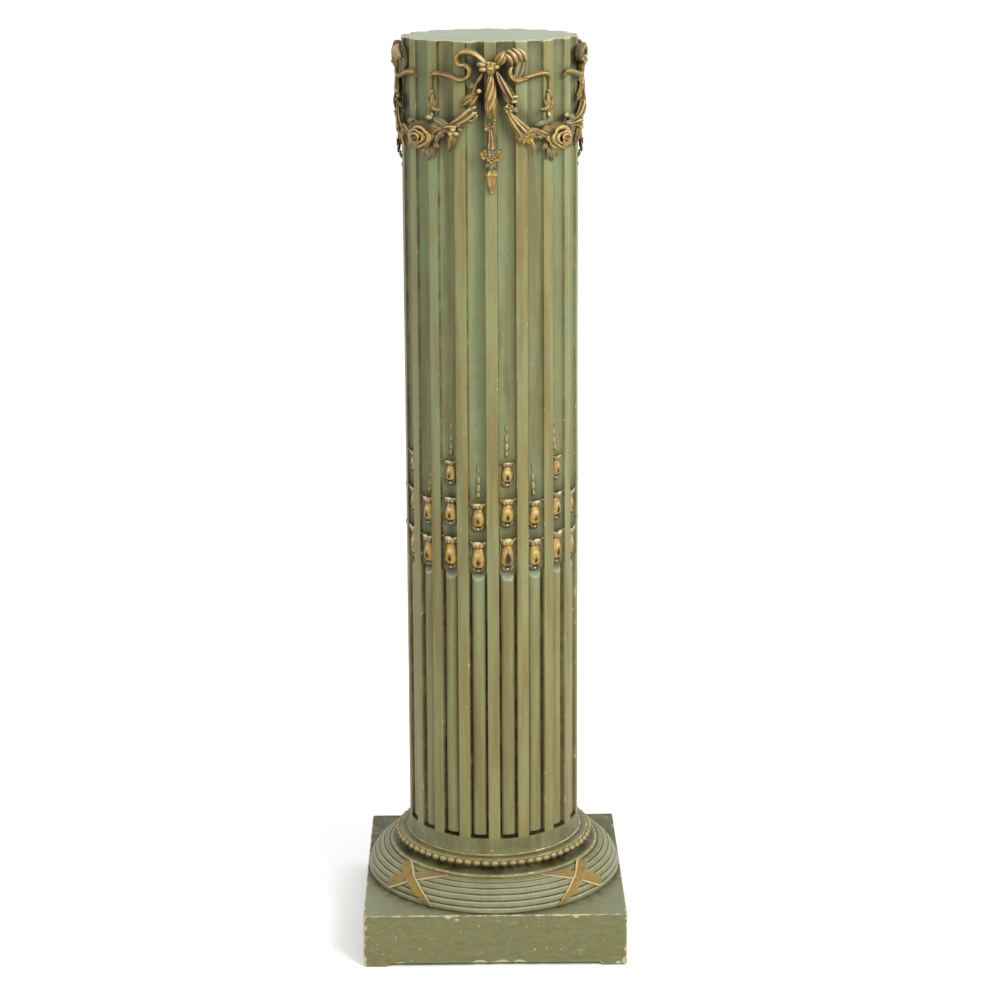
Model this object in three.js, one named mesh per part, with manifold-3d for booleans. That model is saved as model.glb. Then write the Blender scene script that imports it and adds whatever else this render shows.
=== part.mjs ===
// A painted and gilded wooden column pedestal: a square plinth on corner pads, a reeded base
// moulding with crossed ribbons and a beaded rim, and a fluted shaft whose flutes are filled with
// cables below and rows of gilded seed pods in the middle. Four ribbon bows with hanging drops and
// four flower swags are applied round the top. Millimetres, +Z up, origin under the plinth's centre.
// The front is -Y, and the first bow is on it.
import * as THREE from "three";
import { mergeVertices } from "three/addons/utils/BufferGeometryUtils.js";
import Module from "manifold-3d";

const wasm = await Module();
wasm.setup();

// Plinth
const PLINTH_SIDE = 330;
const PLINTH_THICKNESS = 65;
const PAD_HEIGHT = 4;
const PAD_WIDTH = 34;
const PAD_SLOPE = 6;

// Clearance left by glue and paint between pieces that sit on each other
const SEAM = 0.3;

// Base moulding: heights are above the plinth
const BASE_HEIGHT = 59;
const CUSHION_MARGIN = 1.7;
const CUSHION_HEIGHT = 39;
const CUSHION_TOP_ANGLE = 17.5;
const REED_COUNT = 6;
const REED_GROOVE = 1.8;
const CUSHION_FILLET_WIDTH = 8.5;
const CUSHION_FILLET_HEIGHT = 2.2;
const SCOTIA_WIDTH = 15;
const SCOTIA_OVERHANG = 4.5;
const RIM_THICKNESS = 9.6;
const LEDGE_WIDTH = 9.8;
const LEDGE_RISE = 1.5;
const BEAD_PITCH = 11.35;
const BEAD_RADIUS = 4.6;
const BEAD_PROUD = 0.4;
const NECK_RING_MARGIN = 3.2;
const NECK_RING_HEIGHT = 2.2;

// Crossed ribbons on the base moulding: angles from the front, at the cushion's top and foot
const CROSS_OUTER_TOP = 53;
const CROSS_OUTER_FOOT = 32;
const CROSS_INNER_TOP = 29;
const CROSS_INNER_FOOT = 60;
const CROSS_WIDTH = 13;
const CROSS_LIFT = 1.6;
const CROSS_LAP = 0.8;
const CROSS_SINK = 6;
const CROSS_FOOT_ANGLE = 86;

// Shaft: heights are above the shaft's foot
const SHAFT_HEIGHT = 1011.7;
const SHAFT_FOOT_RADIUS = 109.5;
const SHAFT_TOP_RADIUS = 106.5;
const FOOT_FLARE = 1.8;
const FOOT_FLARE_HEIGHT = 5;
const FLUTE_COUNT = 18;
const FLUTE_WIDTH = 23;
const FLUTE_DEPTH = 9;
const FLUTE_START = 20;
const CABLE_TOP = 358;
const CABLE_BEVEL = 13;
const CABLE_CREST_DEPTH = 2.4;
const CABLE_SIDE_DEPTH = 7.6;
const CABLE_FOOT_GAP = 3.5;

// Seed pods in the flutes: [foot height, length, width]; every other flute lacks the top one
const POD_ROWS = [
  [377, 33, 17],
  [431, 28, 15],
  [484, 22, 12],
];
const POD_CREST_DEPTH = 0.5;
const POD_SINK = 0.4;
const CALYX_HEIGHT = 7;
const CALYX_MARGIN = 2;
const STEM_LENGTH = 50;
const STEM_WIDTH = 8;

// Applied ornament
const BOW_COUNT = 4;
const BOW_HEIGHT = 80;
const TAIL_FLUTES = 2;
const RIBBON_THICKNESS = 3.6;
const RIBBON_PROUD = 10.5;
const TAIL_WIDTH = 5.4;
const TAIL_PROUD = 4.5;
const KNOT_TOP = 24;
const DROP_LENGTH = 153;
const STRAND_DEPTH = 0.95;
const ROSE_DROP = 113;
const ROSE_RADIUS = 13;
const ROSE_PROUD = 12.5;
const ROSE_SHIFT = 4;
const PETAL_COUNT = 5;
const PETAL_REACH = 21;
const PETAL_GAP = 6;
const ROSE_LEAF_REACH = 38;

// Facets
const BASE_SEGMENTS = 32;
const SHAFT_SEGMENTS = 2 * FLUTE_COUNT;
const POD_SIDES = 4;
const STRAND_SIDES = 5;

const NECK_RING_RADIUS = SHAFT_FOOT_RADIUS + NECK_RING_MARGIN;
const RIM_RADIUS = NECK_RING_RADIUS + LEDGE_WIDTH;
const SCOTIA_RADIUS = RIM_RADIUS - SCOTIA_OVERHANG;
const CUSHION_FILLET_RADIUS = SCOTIA_RADIUS + SCOTIA_WIDTH;
const CUSHION_CENTRE = CUSHION_FILLET_RADIUS - CUSHION_FILLET_WIDTH;
const CUSHION_RADIUS = PLINTH_SIDE / 2 - CUSHION_MARGIN;
const CUSHION_ROUND = CUSHION_RADIUS - CUSHION_CENTRE;
const RIM_TOP = BASE_HEIGHT - NECK_RING_HEIGHT - LEDGE_RISE;
const BEAD_COUNT = Math.round((2 * Math.PI * RIM_RADIUS) / BEAD_PITCH);
const PLINTH_TOP = PAD_HEIGHT + PLINTH_THICKNESS;
const BASE_FOOT = PLINTH_TOP + SEAM;
const SHAFT_FOOT = PLINTH_TOP + BASE_HEIGHT + SEAM;
const TAPER = Math.atan((SHAFT_FOOT_RADIUS - SHAFT_TOP_RADIUS) / SHAFT_HEIGHT);
const FLUTE_PITCH = (2 * Math.PI) / FLUTE_COUNT;
const BOW_PITCH = (2 * Math.PI) / BOW_COUNT;
const BOW_SPACING = BOW_PITCH * SHAFT_TOP_RADIUS;
const BOW_REACH = TAIL_FLUTES * FLUTE_PITCH * SHAFT_TOP_RADIUS;

// How far cutters run past the surface
const OVERRUN = 6;

const greenPaint = new THREE.MeshStandardMaterial({ color: 0x7b8360, roughness: 0.62, metalness: 0 });
const gilding = new THREE.MeshStandardMaterial({ color: 0xa8843f, roughness: 0.45, metalness: 0.5 });

const radians = THREE.MathUtils.degToRad;

// A closed three.js geometry as a solid that can be joined and cut.
function solid(geometry) {
  const bare = geometry.index ? geometry.toNonIndexed() : geometry.clone();
  bare.deleteAttribute("normal");
  bare.deleteAttribute("uv");
  const merged = mergeVertices(bare, 1e-4);
  const corners = [];
  for (let i = 0; i < merged.index.count; i += 3) {
    const [a, b, c] = [0, 1, 2].map((k) => merged.index.getX(i + k));
    if (a !== b && b !== c && c !== a) corners.push(a, b, c);
  }
  const make = (triVerts) =>
    new wasm.Manifold(
      new wasm.Mesh({
        numProp: 3,
        vertProperties: new Float32Array(merged.attributes.position.array),
        triVerts: new Uint32Array(triVerts),
      }),
    );
  const made = make(corners);
  return made.volume() < 0 ? make(corners.reverse()) : made;
}

// A solid's faces as a three.js geometry.
function geometryOf(made) {
  const { vertProperties, triVerts, numProp } = made.getMesh();
  const positions = new Float32Array((vertProperties.length / numProp) * 3);
  for (let i = 0; i < positions.length / 3; i++)
    positions.set(vertProperties.subarray(i * numProp, i * numProp + 3), i * 3);
  const geometry = new THREE.BufferGeometry();
  geometry.setAttribute("position", new THREE.BufferAttribute(positions, 3));
  geometry.setIndex(new THREE.BufferAttribute(new Uint32Array(triVerts), 1));
  geometry.computeVertexNormals();
  return geometry;
}

const joined = (solids) => solids.reduce((all, one) => all.add(one));

// A profile of [radius, height] pairs turned round +Z, with a corner of the polygon at the front.
function turned(profile, segments) {
  const points = profile.map(([radius, height]) => new THREE.Vector2(radius, height));
  return solid(new THREE.LatheGeometry(points, segments).rotateX(Math.PI / 2));
}

// An outline of [x, z] pairs pushed out towards -Y, from depth y0 to y1.
function pushedOut(outline, near, far) {
  const shape = new THREE.Shape(outline.map(([x, z]) => new THREE.Vector2(x, z)));
  const geometry = new THREE.ExtrudeGeometry(shape, { depth: far - near, bevelEnabled: false });
  return geometry.rotateX(Math.PI / 2).translate(0, -near, 0);
}

// An outline of [x, y] pairs raised along +Z.
function raised(outline, bottom, top) {
  const shape = new THREE.Shape(outline.map(([x, y]) => new THREE.Vector2(x, y)));
  const geometry = new THREE.ExtrudeGeometry(shape, { depth: top - bottom, bevelEnabled: false });
  return solid(geometry.translate(0, 0, bottom));
}

function block(width, depth, height, x, y, z) {
  return solid(new THREE.BoxGeometry(width, depth, height).translate(x, y, z));
}

// A few points of an arc-like hump: x from -half to half, y from edge at the sides to crest between.
function hump(half, edge, crest, steps) {
  const points = [];
  for (let i = 0; i <= steps; i++) {
    const angle = ((2 * i) / steps - 1) * (Math.PI / 2);
    points.push([half * Math.sin(angle), edge + (crest - edge) * Math.cos(angle)]);
  }
  return points;
}

// Square plinth, raised on a pad at each corner whose inner sides slope up into the block.
function plinth() {
  const half = PLINTH_SIDE / 2;
  const slab = block(PLINTH_SIDE, PLINTH_SIDE, PLINTH_THICKNESS, 0, 0, PAD_HEIGHT + PLINTH_THICKNESS / 2);
  const foot = PAD_WIDTH - PAD_SLOPE;
  const side = (sign) => [
    [sign * half, 0],
    [sign * (half - foot), 0],
    [sign * (half - PAD_WIDTH), PAD_HEIGHT + 1],
    [sign * half, PAD_HEIGHT + 1],
  ];
  const pads = [];
  for (const sign of [-1, 1]) {
    const alongX = solid(pushedOut(side(sign), -half, half));
    for (const other of [-1, 1]) {
      const alongY = solid(pushedOut(side(other), -half, half).rotateZ(Math.PI / 2));
      pads.push(alongX.intersect(alongY));
    }
  }
  return slab.add(joined(pads));
}

// A point of the cushion's rounded profile: angle 0 is its crown and 90 its widest, at the plinth.
function cushionPoint(angle, lift = 0) {
  return [
    CUSHION_CENTRE + (CUSHION_ROUND + lift) * Math.sin(radians(angle)),
    (CUSHION_HEIGHT + lift) * Math.cos(radians(angle)),
  ];
}

// Turned profile of the base moulding, from its foot on the plinth to the shaft's seat.
function baseProfile() {
  const profile = [[0, 0]];
  const reedAngle = (90 - CUSHION_TOP_ANGLE) / REED_COUNT;
  for (let reed = 0; reed < REED_COUNT; reed++) {
    const foot = 90 - reed * reedAngle;
    profile.push(reed ? cushionPoint(foot, -REED_GROOVE) : [cushionPoint(foot, -REED_GROOVE / 2)[0], 0]);
    profile.push(cushionPoint(foot - reedAngle / 2));
  }
  const filletTop = cushionPoint(CUSHION_TOP_ANGLE)[1] + CUSHION_FILLET_HEIGHT;
  profile.push(
    cushionPoint(CUSHION_TOP_ANGLE, -REED_GROOVE),
    [CUSHION_FILLET_RADIUS, filletTop],
    [SCOTIA_RADIUS + 0.4 * SCOTIA_WIDTH, filletTop + 0.1 * (RIM_TOP - filletTop)],
    [SCOTIA_RADIUS, filletTop + 0.5 * (RIM_TOP - RIM_THICKNESS - filletTop)],
    [SCOTIA_RADIUS + 0.1 * SCOTIA_WIDTH, RIM_TOP - RIM_THICKNESS],
    [RIM_RADIUS, RIM_TOP - RIM_THICKNESS],
    [RIM_RADIUS, RIM_TOP],
    [NECK_RING_RADIUS, RIM_TOP + LEDGE_RISE],
    [NECK_RING_RADIUS, BASE_HEIGHT],
    [0, BASE_HEIGHT],
  );
  return profile;
}

// A flat ribbon laid over the cushion with pointed ends, from one angle at the cushion's top to
// another at its foot.
function cushionRibbon(topAngle, footAngle, proud) {
  const steps = 4;
  const left = [];
  const right = [];
  for (let i = 1; i < steps; i++) {
    left.push([-CROSS_WIDTH / 2, i / steps]);
    right.push([CROSS_WIDTH / 2, i / steps]);
  }
  const outline = [[0, 0], ...right, [0, 1], ...left.reverse()];
  const shape = new THREE.Shape(outline.map(([x, y]) => new THREE.Vector2(x, y)));
  const geometry = new THREE.ExtrudeGeometry(shape, { depth: 1, bevelEnabled: false });
  const position = geometry.attributes.position;
  for (let i = 0; i < position.count; i++) {
    const [across, along, out] = [position.getX(i), position.getY(i), position.getZ(i)];
    const lift = out > 0.5 ? proud : -CROSS_SINK;
    const profileAngle = CUSHION_TOP_ANGLE + along * (CROSS_FOOT_ANGLE - CUSHION_TOP_ANGLE);
    const [radius, height] = cushionPoint(profileAngle, lift);
    const turn = radians(topAngle + along * (footAngle - topAngle)) + across / CUSHION_RADIUS;
    position.setXYZ(i, radius * Math.sin(turn), -radius * Math.cos(turn), height);
  }
  return solid(geometry);
}

// Two ribbons crossed over each corner of the plinth.
function crossedRibbons() {
  const ribbons = [];
  for (const side of [-1, 1])
    for (const end of [0, 180])
      for (const [top, foot, proud] of [
        [CROSS_OUTER_TOP, CROSS_OUTER_FOOT, CROSS_LIFT],
        [CROSS_INNER_TOP, CROSS_INNER_FOOT, CROSS_LIFT + CROSS_LAP],
      ]) {
        const mirror = end ? -side : side;
        ribbons.push(cushionRibbon(end + mirror * top, end + mirror * foot, proud));
      }
  return joined(ribbons);
}

// A row of beads, half sunk in the rim.
function beadRow() {
  const rimMiddle = RIM_TOP - RIM_THICKNESS / 2;
  const beads = [];
  for (let i = 0; i < BEAD_COUNT; i++) {
    const bead = new THREE.OctahedronGeometry(BEAD_RADIUS).translate(0, -RIM_RADIUS - BEAD_PROUD, rimMiddle);
    beads.push(solid(bead.rotateZ((i * 2 * Math.PI) / BEAD_COUNT)));
  }
  return wasm.Manifold.union(beads);
}

function baseMoulding() {
  return turned(baseProfile(), BASE_SEGMENTS).add(crossedRibbons()).add(beadRow());
}

// The outline of a flute's round hollow, standing in from its walls by a clearance.
function hollowOutline(clearance) {
  const half = FLUTE_WIDTH / 2 - clearance;
  return [...hump(half, 0, clearance - FLUTE_DEPTH, 4), [half, OVERRUN], [-half, OVERRUN]];
}

// What one flute removes, standing at the shaft's front: x across, y outwards from the surface.
function fluteCutter() {
  const half = FLUTE_WIDTH / 2;
  const rim = [
    [half, OVERRUN],
    [-half, OVERRUN],
  ];
  const hollow = hollowOutline(0);
  const overCable = [...hump(half, -CABLE_SIDE_DEPTH, -CABLE_CREST_DEPTH, 4), ...rim];
  const square = [[-half, -CABLE_SIDE_DEPTH], [half, -CABLE_SIDE_DEPTH], ...rim];
  const bevelTop = CABLE_TOP + CABLE_BEVEL;
  const slope = [
    [OVERRUN, CABLE_TOP],
    [-CABLE_CREST_DEPTH, CABLE_TOP],
    [-FLUTE_DEPTH, bevelTop],
    [OVERRUN, bevelTop],
  ];
  const bevel = solid(pushedOut(slope, -FLUTE_WIDTH, FLUTE_WIDTH).rotateZ(Math.PI / 2));
  const cut = joined([
    raised(square, FLUTE_START, FLUTE_START + CABLE_FOOT_GAP),
    raised(overCable, FLUTE_START + CABLE_FOOT_GAP, CABLE_TOP),
    bevel.intersect(raised(hollow, CABLE_TOP, bevelTop)),
    raised(hollow, bevelTop, SHAFT_HEIGHT + OVERRUN),
  ]);
  return cut.rotate([0, 0, 180]);
}

// Whether a flute, and not a fillet, runs down the shaft at an angle from the front.
const isOnFlute = (turn) => Math.abs(((turn / FLUTE_PITCH) % 1) - 0.5) < 0.25;

// The shaft's round surface with a seam's clearance, turned so that what is at an angle from the
// front comes to the front.
function roundSeat(turn) {
  const surface = turned(
    [
      [0, 0],
      [SHAFT_FOOT_RADIUS + SEAM, 0],
      [SHAFT_TOP_RADIUS + SEAM, SHAFT_HEIGHT],
      [0, SHAFT_HEIGHT],
    ],
    SHAFT_SEGMENTS,
  );
  return surface.rotate([0, 0, -THREE.MathUtils.radToDeg(turn)]);
}

// The same with the hollow of the flute in front, if there is one.
function bowSeat(turn) {
  if (!isOnFlute(turn)) return roundSeat(turn);
  const hollow = raised(hollowOutline(SEAM), CABLE_TOP + CABLE_BEVEL, SHAFT_HEIGHT + OVERRUN);
  return roundSeat(turn).subtract(againstShaft(hollow.rotate([0, 0, 180])));
}

// Stands a solid made at x 0, y 0 against the tapering surface at the front of the shaft.
function againstShaft(made) {
  return made.rotate([(-TAPER * 180) / Math.PI, 0, 0]).translate([0, -SHAFT_FOOT_RADIUS, 0]);
}

// A row of pods in a flute: each swells from a narrow foot and wears a spreading calyx, and a stem
// rises from the last one.
function podRow(pods) {
  const depth = (FLUTE_DEPTH - POD_SINK - POD_CREST_DEPTH) / (pods[0][2] / 2);
  const calyxRadius = FLUTE_WIDTH / 2 - CALYX_MARGIN;
  const profile = [[0, pods[0][0]]];
  for (const [foot, length, width] of pods) {
    profile.push([width * 0.3, foot + 0.06 * length], [width / 2, foot + 0.4 * length]);
    profile.push([width * 0.32, foot + length], [calyxRadius, foot + length + CALYX_HEIGHT]);
  }
  const [lastFoot, lastLength] = pods[pods.length - 1];
  const stemFoot = lastFoot + lastLength + CALYX_HEIGHT + 2;
  profile.push([STEM_WIDTH / 2, stemFoot], [0, stemFoot + STEM_LENGTH]);
  const points = profile.map(([radius, height]) => new THREE.Vector2(radius, height));
  const row = new THREE.LatheGeometry(points, POD_SIDES).rotateX(Math.PI / 2);
  return solid(row.scale(1, depth, 1).translate(0, FLUTE_DEPTH - POD_SINK, 0));
}

function shaft() {
  const body = turned(
    [
      [0, 0],
      [SHAFT_FOOT_RADIUS + FOOT_FLARE, 0],
      [SHAFT_FOOT_RADIUS, FOOT_FLARE_HEIGHT],
      [SHAFT_TOP_RADIUS, SHAFT_HEIGHT],
      [0, SHAFT_HEIGHT],
    ],
    SHAFT_SEGMENTS,
  );
  const cutter = againstShaft(fluteCutter());
  const rows = [podRow(POD_ROWS), podRow(POD_ROWS.slice(0, -1))].map(againstShaft);
  const cuts = [];
  const pods = [];
  for (let i = 0; i < FLUTE_COUNT; i++) {
    const turn = [0, 0, THREE.MathUtils.radToDeg((i + 0.5) * FLUTE_PITCH)];
    cuts.push(cutter.rotate(turn));
    pods.push(rows[i % 2].rotate(turn));
  }
  return body.subtract(wasm.Manifold.union(cuts)).add(wasm.Manifold.union(pods));
}

// Wraps pieces drawn flat, with x round the shaft and -y outwards, round the shaft, and cuts them off
// behind where they sit on it.
function wrapped(pieces, seated) {
  const geometry = geometryOf(joined(pieces));
  const position = geometry.attributes.position;
  for (let i = 0; i < position.count; i++) {
    const [s, out, t] = [position.getX(i), -position.getY(i), position.getZ(i)];
    const radius = SHAFT_TOP_RADIUS - t * Math.tan(TAPER) + out;
    const turn = s / SHAFT_TOP_RADIUS;
    position.setXYZ(i, radius * Math.sin(turn), -radius * Math.cos(turn), SHAFT_HEIGHT + t);
  }
  return solid(geometry).subtract(seated);
}

// A band of even width along a flat curve through points [s, t], standing off the shaft.
function band(points, width, proud, steps) {
  const curve = new THREE.CatmullRomCurve3(points.map(([s, t]) => new THREE.Vector3(s, t, 0)));
  const left = [];
  const right = [];
  for (let i = 0; i <= steps; i++) {
    const at = curve.getPointAt(i / steps);
    const along = curve.getTangentAt(i / steps);
    left.push([at.x - (along.y * width) / 2, at.y + (along.x * width) / 2]);
    right.push([at.x + (along.y * width) / 2, at.y - (along.x * width) / 2]);
  }
  return solid(pushedOut([...left, ...right.reverse()], 2 * SEAM, proud));
}

// A rounded strand through stations [s, t, radius, sink], such as husks and bell flowers in a row.
function strand(stations) {
  const last = stations.length - 1;
  const piece = new THREE.CylinderGeometry(1, 1, last, STRAND_SIDES, last);
  const position = piece.attributes.position;
  for (let i = 0; i < position.count; i++) {
    const station = Math.round(last / 2 - position.getY(i));
    const [s, t, radius, sink = 0] = stations[station];
    const before = stations[Math.max(station - 1, 0)];
    const after = stations[Math.min(station + 1, last)];
    const length = Math.hypot(after[0] - before[0], after[1] - before[1]);
    const across = radius * position.getX(i);
    const out = radius * position.getZ(i) * STRAND_DEPTH - sink;
    const ds = (-across * (after[1] - before[1])) / length;
    const dt = (across * (after[0] - before[0])) / length;
    position.setXYZ(i, s + ds, -out, t + dt);
  }
  return solid(piece);
}

// A leaf: a pointed oval with a ridge, between two flat points.
function leaf([s0, t0], [s1, t1], width, proud) {
  const length = Math.hypot(s1 - s0, t1 - t0);
  const piece = new THREE.OctahedronGeometry(1).scale(width / 2, proud, length / 2);
  return solid(piece.rotateY(Math.atan2(s1 - s0, t1 - t0)).translate((s0 + s1) / 2, 0, (t0 + t1) / 2));
}

// Half a bow: a ribbon that arches out of the knot, rolls back under itself and runs out as a tail
// that turns down a fillet and ends in a bud. Points are shares of the bow's reach and height.
function halfBow(side) {
  const placed = ([s, t]) => [side * s * BOW_REACH, -t * BOW_HEIGHT];
  const loop = [
    [0.05, 0.35],
    [0.26, 0.14],
    [0.45, 0.16],
    [0.53, 0.29],
    [0.42, 0.37],
    [0.32, 0.44],
    [0.39, 0.54],
    [0.53, 0.55],
    [0.68, 0.5],
  ];
  const tail = [
    [0.63, 0.515],
    [0.81, 0.48],
    [0.94, 0.48],
    [1, 0.54],
    [1, 0.97],
  ];
  return [
    band(loop.map(placed), RIBBON_THICKNESS, RIBBON_PROUD, 9),
    band(tail.map(placed), TAIL_WIDTH, TAIL_PROUD, 5),
    leaf(placed([0.98, 1.1]), placed([1.03, 0.78]), 12, 6.5),
  ];
}

// A knot with two ribbon loops, and a drop of a twisted husk, berries, a flower and a closed bud.
// Where a flute runs behind the bow, the flower and the bud lie back into its hollow.
function bow(turn) {
  const [flowerSink, budSink] = isOnFlute(turn) ? [FLUTE_DEPTH / 3, FLUTE_DEPTH] : [0, 0];
  const drop = [
    [0, 5.5],
    [0.045, 9.5],
    [0.095, 5.2],
    [0.36, 6.3],
    [0.4, 3],
    [0.45, 6.4],
    [0.5, 3.8],
    [0.61, 6],
    [0.71, 11.5, flowerSink],
    [0.79, 5.6, budSink / 2],
    [0.87, 7.5, budSink],
    [0.975, 4.2, budSink],
    [1, 1.6, budSink],
  ].map(([share, radius, sink]) => [0, -KNOT_TOP - share * DROP_LENGTH, radius, sink]);
  return wrapped([strand(drop), ...halfBow(-1), ...halfBow(1)], bowSeat(turn));
}

// The half of a swag that falls from a knot on its left: a husk, a small flower, a bell flower whose
// mouth opens towards the rose, and a leaf. Points are shares of the way to the rose.
function bellHalf(run) {
  const placed = ([s, t, radius]) => [s * run, -t * ROSE_DROP, radius];
  const stations = [
    [0.115, 0.335, 2.4],
    [0.25, 0.505, 3.4],
    [0.3, 0.6, 3],
    [0.265, 0.715, 6],
    [0.31, 0.78, 4],
    [0.49, 0.945, 11.5],
    [0.54, 0.99, 5],
    [0.605, 1.185, 2.5],
  ];
  return [strand(stations.map(placed)), leaf(placed([0.46, 0.92]), placed([0.86, 0.98]), 15, 7)];
}

// The half of a swag that rises to a knot on its right: two bell flowers and leaves, as shares of
// the way from that knot to the rose.
function leafHalf(run) {
  const placed = ([s, t, radius]) => [BOW_SPACING - s * run, -t * ROSE_DROP, radius];
  const stations = [
    [0.12, 0.33, 2.4],
    [0.29, 0.46, 3.2],
    [0.3, 0.62, 4],
    [0.31, 0.725, 4.4],
    [0.53, 0.805, 8.6],
    [0.6, 0.85, 5.4],
    [0.71, 0.945, 10],
    [0.9, 0.98, 5],
  ];
  return [
    strand(stations.map(placed)),
    leaf(placed([0.265, 0.48]), placed([0.53, 0.62]), 11, 4.5),
    leaf(placed([0.64, 0.9]), placed([0.66, 1.16]), 10, 4),
  ];
}

// The rose at a swag's lowest point: a full heart among petals, with a leaf hanging below.
function rose(middle) {
  const profile = [
    [0, -1],
    [1, 0],
    [1, 0.3],
    [ROSE_RADIUS / PETAL_REACH, 0.75],
    [0, 1],
  ].map(([radius, out]) => new THREE.Vector2(radius * PETAL_REACH, out * ROSE_PROUD));
  const flower = new THREE.LatheGeometry(profile, 2 * PETAL_COUNT);
  const position = flower.attributes.position;
  for (let i = 0; i < position.count; i++) {
    const [x, y, z] = [position.getX(i), position.getY(i), position.getZ(i)];
    const radius = Math.hypot(x, z);
    const inset = radius > PETAL_REACH - 1 && Math.cos(PETAL_COUNT * Math.atan2(x, z)) < 0 ? PETAL_GAP : 0;
    const share = radius > 0 ? (radius - inset) / radius : 0;
    position.setXYZ(i, middle + x * share, -y, z * share - ROSE_DROP);
  }
  const leafRoot = [middle - 5, -ROSE_DROP - 3];
  return [solid(flower), leaf(leafRoot, [middle - 10, -ROSE_DROP - ROSE_LEAF_REACH], 14, 5)];
}

// A swag from the bow at an angle to the next one, its rose a little nearer to the side bow.
function swag(turn) {
  const run = BOW_SPACING / 2 + ROSE_SHIFT * Math.cos(2 * turn);
  return wrapped([...bellHalf(run), ...leafHalf(BOW_SPACING - run), ...rose(run)], roundSeat(turn));
}

function addMesh(parent, name, geometry, material) {
  const mesh = new THREE.Mesh(geometry, material);
  mesh.name = name;
  parent.add(mesh);
  return mesh;
}

const pedestal = new THREE.Group();
addMesh(pedestal, "plinth", geometryOf(plinth()), greenPaint);
addMesh(pedestal, "base_moulding", geometryOf(baseMoulding()), greenPaint).position.z = BASE_FOOT;
addMesh(pedestal, "fluted_shaft", geometryOf(shaft()), greenPaint).position.z = SHAFT_FOOT;

["front", "right", "back", "left"].slice(0, BOW_COUNT).forEach((place, i) => {
  const turn = i * BOW_PITCH;
  const quarter = new THREE.Group();
  quarter.rotation.z = turn;
  quarter.position.z = SHAFT_FOOT;
  addMesh(quarter, `ribbon_bow_${place}`, geometryOf(bow(turn)), gilding);
  addMesh(quarter, `flower_swag_from_${place}`, geometryOf(swag(turn)), gilding);
  pedestal.add(quarter);
});

export default pedestal;
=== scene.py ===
"""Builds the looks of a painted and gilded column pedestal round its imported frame.

Every new piece is worked out with numpy in millimetres and stored in metres, in the frame's own
place. The ornament near the top is first laid out flat, with s round the shaft from a bow's
middle, t up from the shaft's top and out away from the shaft, and is then wrapped round it.
"""

import bpy
import numpy as np
from bpy.props import FloatProperty, FloatVectorProperty, IntProperty, PointerProperty
from bpy.types import Operator, Panel, PropertyGroup
from mathutils import Matrix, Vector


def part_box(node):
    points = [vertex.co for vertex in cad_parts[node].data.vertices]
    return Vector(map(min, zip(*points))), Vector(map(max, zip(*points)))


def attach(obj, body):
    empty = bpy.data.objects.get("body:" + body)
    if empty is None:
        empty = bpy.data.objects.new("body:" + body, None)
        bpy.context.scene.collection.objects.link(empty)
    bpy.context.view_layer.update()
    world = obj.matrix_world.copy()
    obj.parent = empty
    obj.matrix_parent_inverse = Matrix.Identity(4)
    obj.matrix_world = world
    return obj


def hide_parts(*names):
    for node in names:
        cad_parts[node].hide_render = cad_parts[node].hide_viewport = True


bl_info = {
    "name": "Column Pedestal",
    "version": (1, 0, 0),
    "blender": (4, 5, 0),
    "location": "3D View > Sidebar > Pedestal",
    "description": "Builds a painted and gilded column pedestal round its packed frame",
    "category": "Mesh",
}

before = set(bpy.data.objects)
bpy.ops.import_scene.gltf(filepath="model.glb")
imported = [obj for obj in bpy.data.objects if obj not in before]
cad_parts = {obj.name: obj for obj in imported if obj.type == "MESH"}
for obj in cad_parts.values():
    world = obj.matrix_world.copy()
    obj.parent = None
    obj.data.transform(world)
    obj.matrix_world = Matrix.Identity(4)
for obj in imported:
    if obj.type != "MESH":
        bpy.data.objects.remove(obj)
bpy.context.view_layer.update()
PLINTH_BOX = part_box("plinth")
BASE_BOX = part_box("base_moulding")
SHAFT_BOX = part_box("fluted_shaft")

MM = 1000.0
PLACES = ("front", "right", "back", "left")
FLUTES = 18
# What each point of a mesh is marked with, for the materials: how rubbed it is and how much
# painted highlight it takes, how much grime and painted shade darken it, where it lies between
# two colours, and how much painted highlight and fading lighten it.
MARKS = ("edge", "hollow", "tone", "pale")
# Lengths in mm on which the flutes and the two halves of a swag are drawn.
FLUTE_RADIUS = 108.0
DRAWN_RUN = 87.65
# Half a cable's width and the height of the plain band at the shaft's foot, in mm.
CABLE_HALF = 9.5
BAND_TOP = 19.5
# The radius on which the cushion's round profile is centred, and the ring on which the beads lie,
# as radius and height above the moulding's foot, in mm.
CUSHION_CENTRE = 124.5
BEAD_RING = (122.9, 50.5)
# The camera as worked out from the photograph: where it stands in metres, its lens in mm, and its
# turn, tilt and roll in degrees.
CAMERA_SPOT = (-0.0234, -2.9691, 1.3550)
CAMERA_LENS = 88.13
CAMERA_ANGLES = (-0.574, 90 - 14.903, -0.294)


# Sizes and colours


class PlinthSizes(PropertyGroup):
    """Sizes of the square plinth."""

    side: FloatProperty(
        name="Side", description="Length of each side", unit="LENGTH",
        default=PLINTH_BOX[1].x - PLINTH_BOX[0].x,
    )
    top: FloatProperty(
        name="Top", description="Height of its upper face", unit="LENGTH", default=PLINTH_BOX[1].z
    )
    pad_height: FloatProperty(
        name="Pad height", description="How far the pads lift it", unit="LENGTH", default=0.004
    )
    pad_width: FloatProperty(
        name="Pad width", description="Width of a corner pad", unit="LENGTH", default=0.034
    )
    chips: IntProperty(
        name="Chips", description="Small chips along its edges", default=60, min=0, max=400
    )


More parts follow.
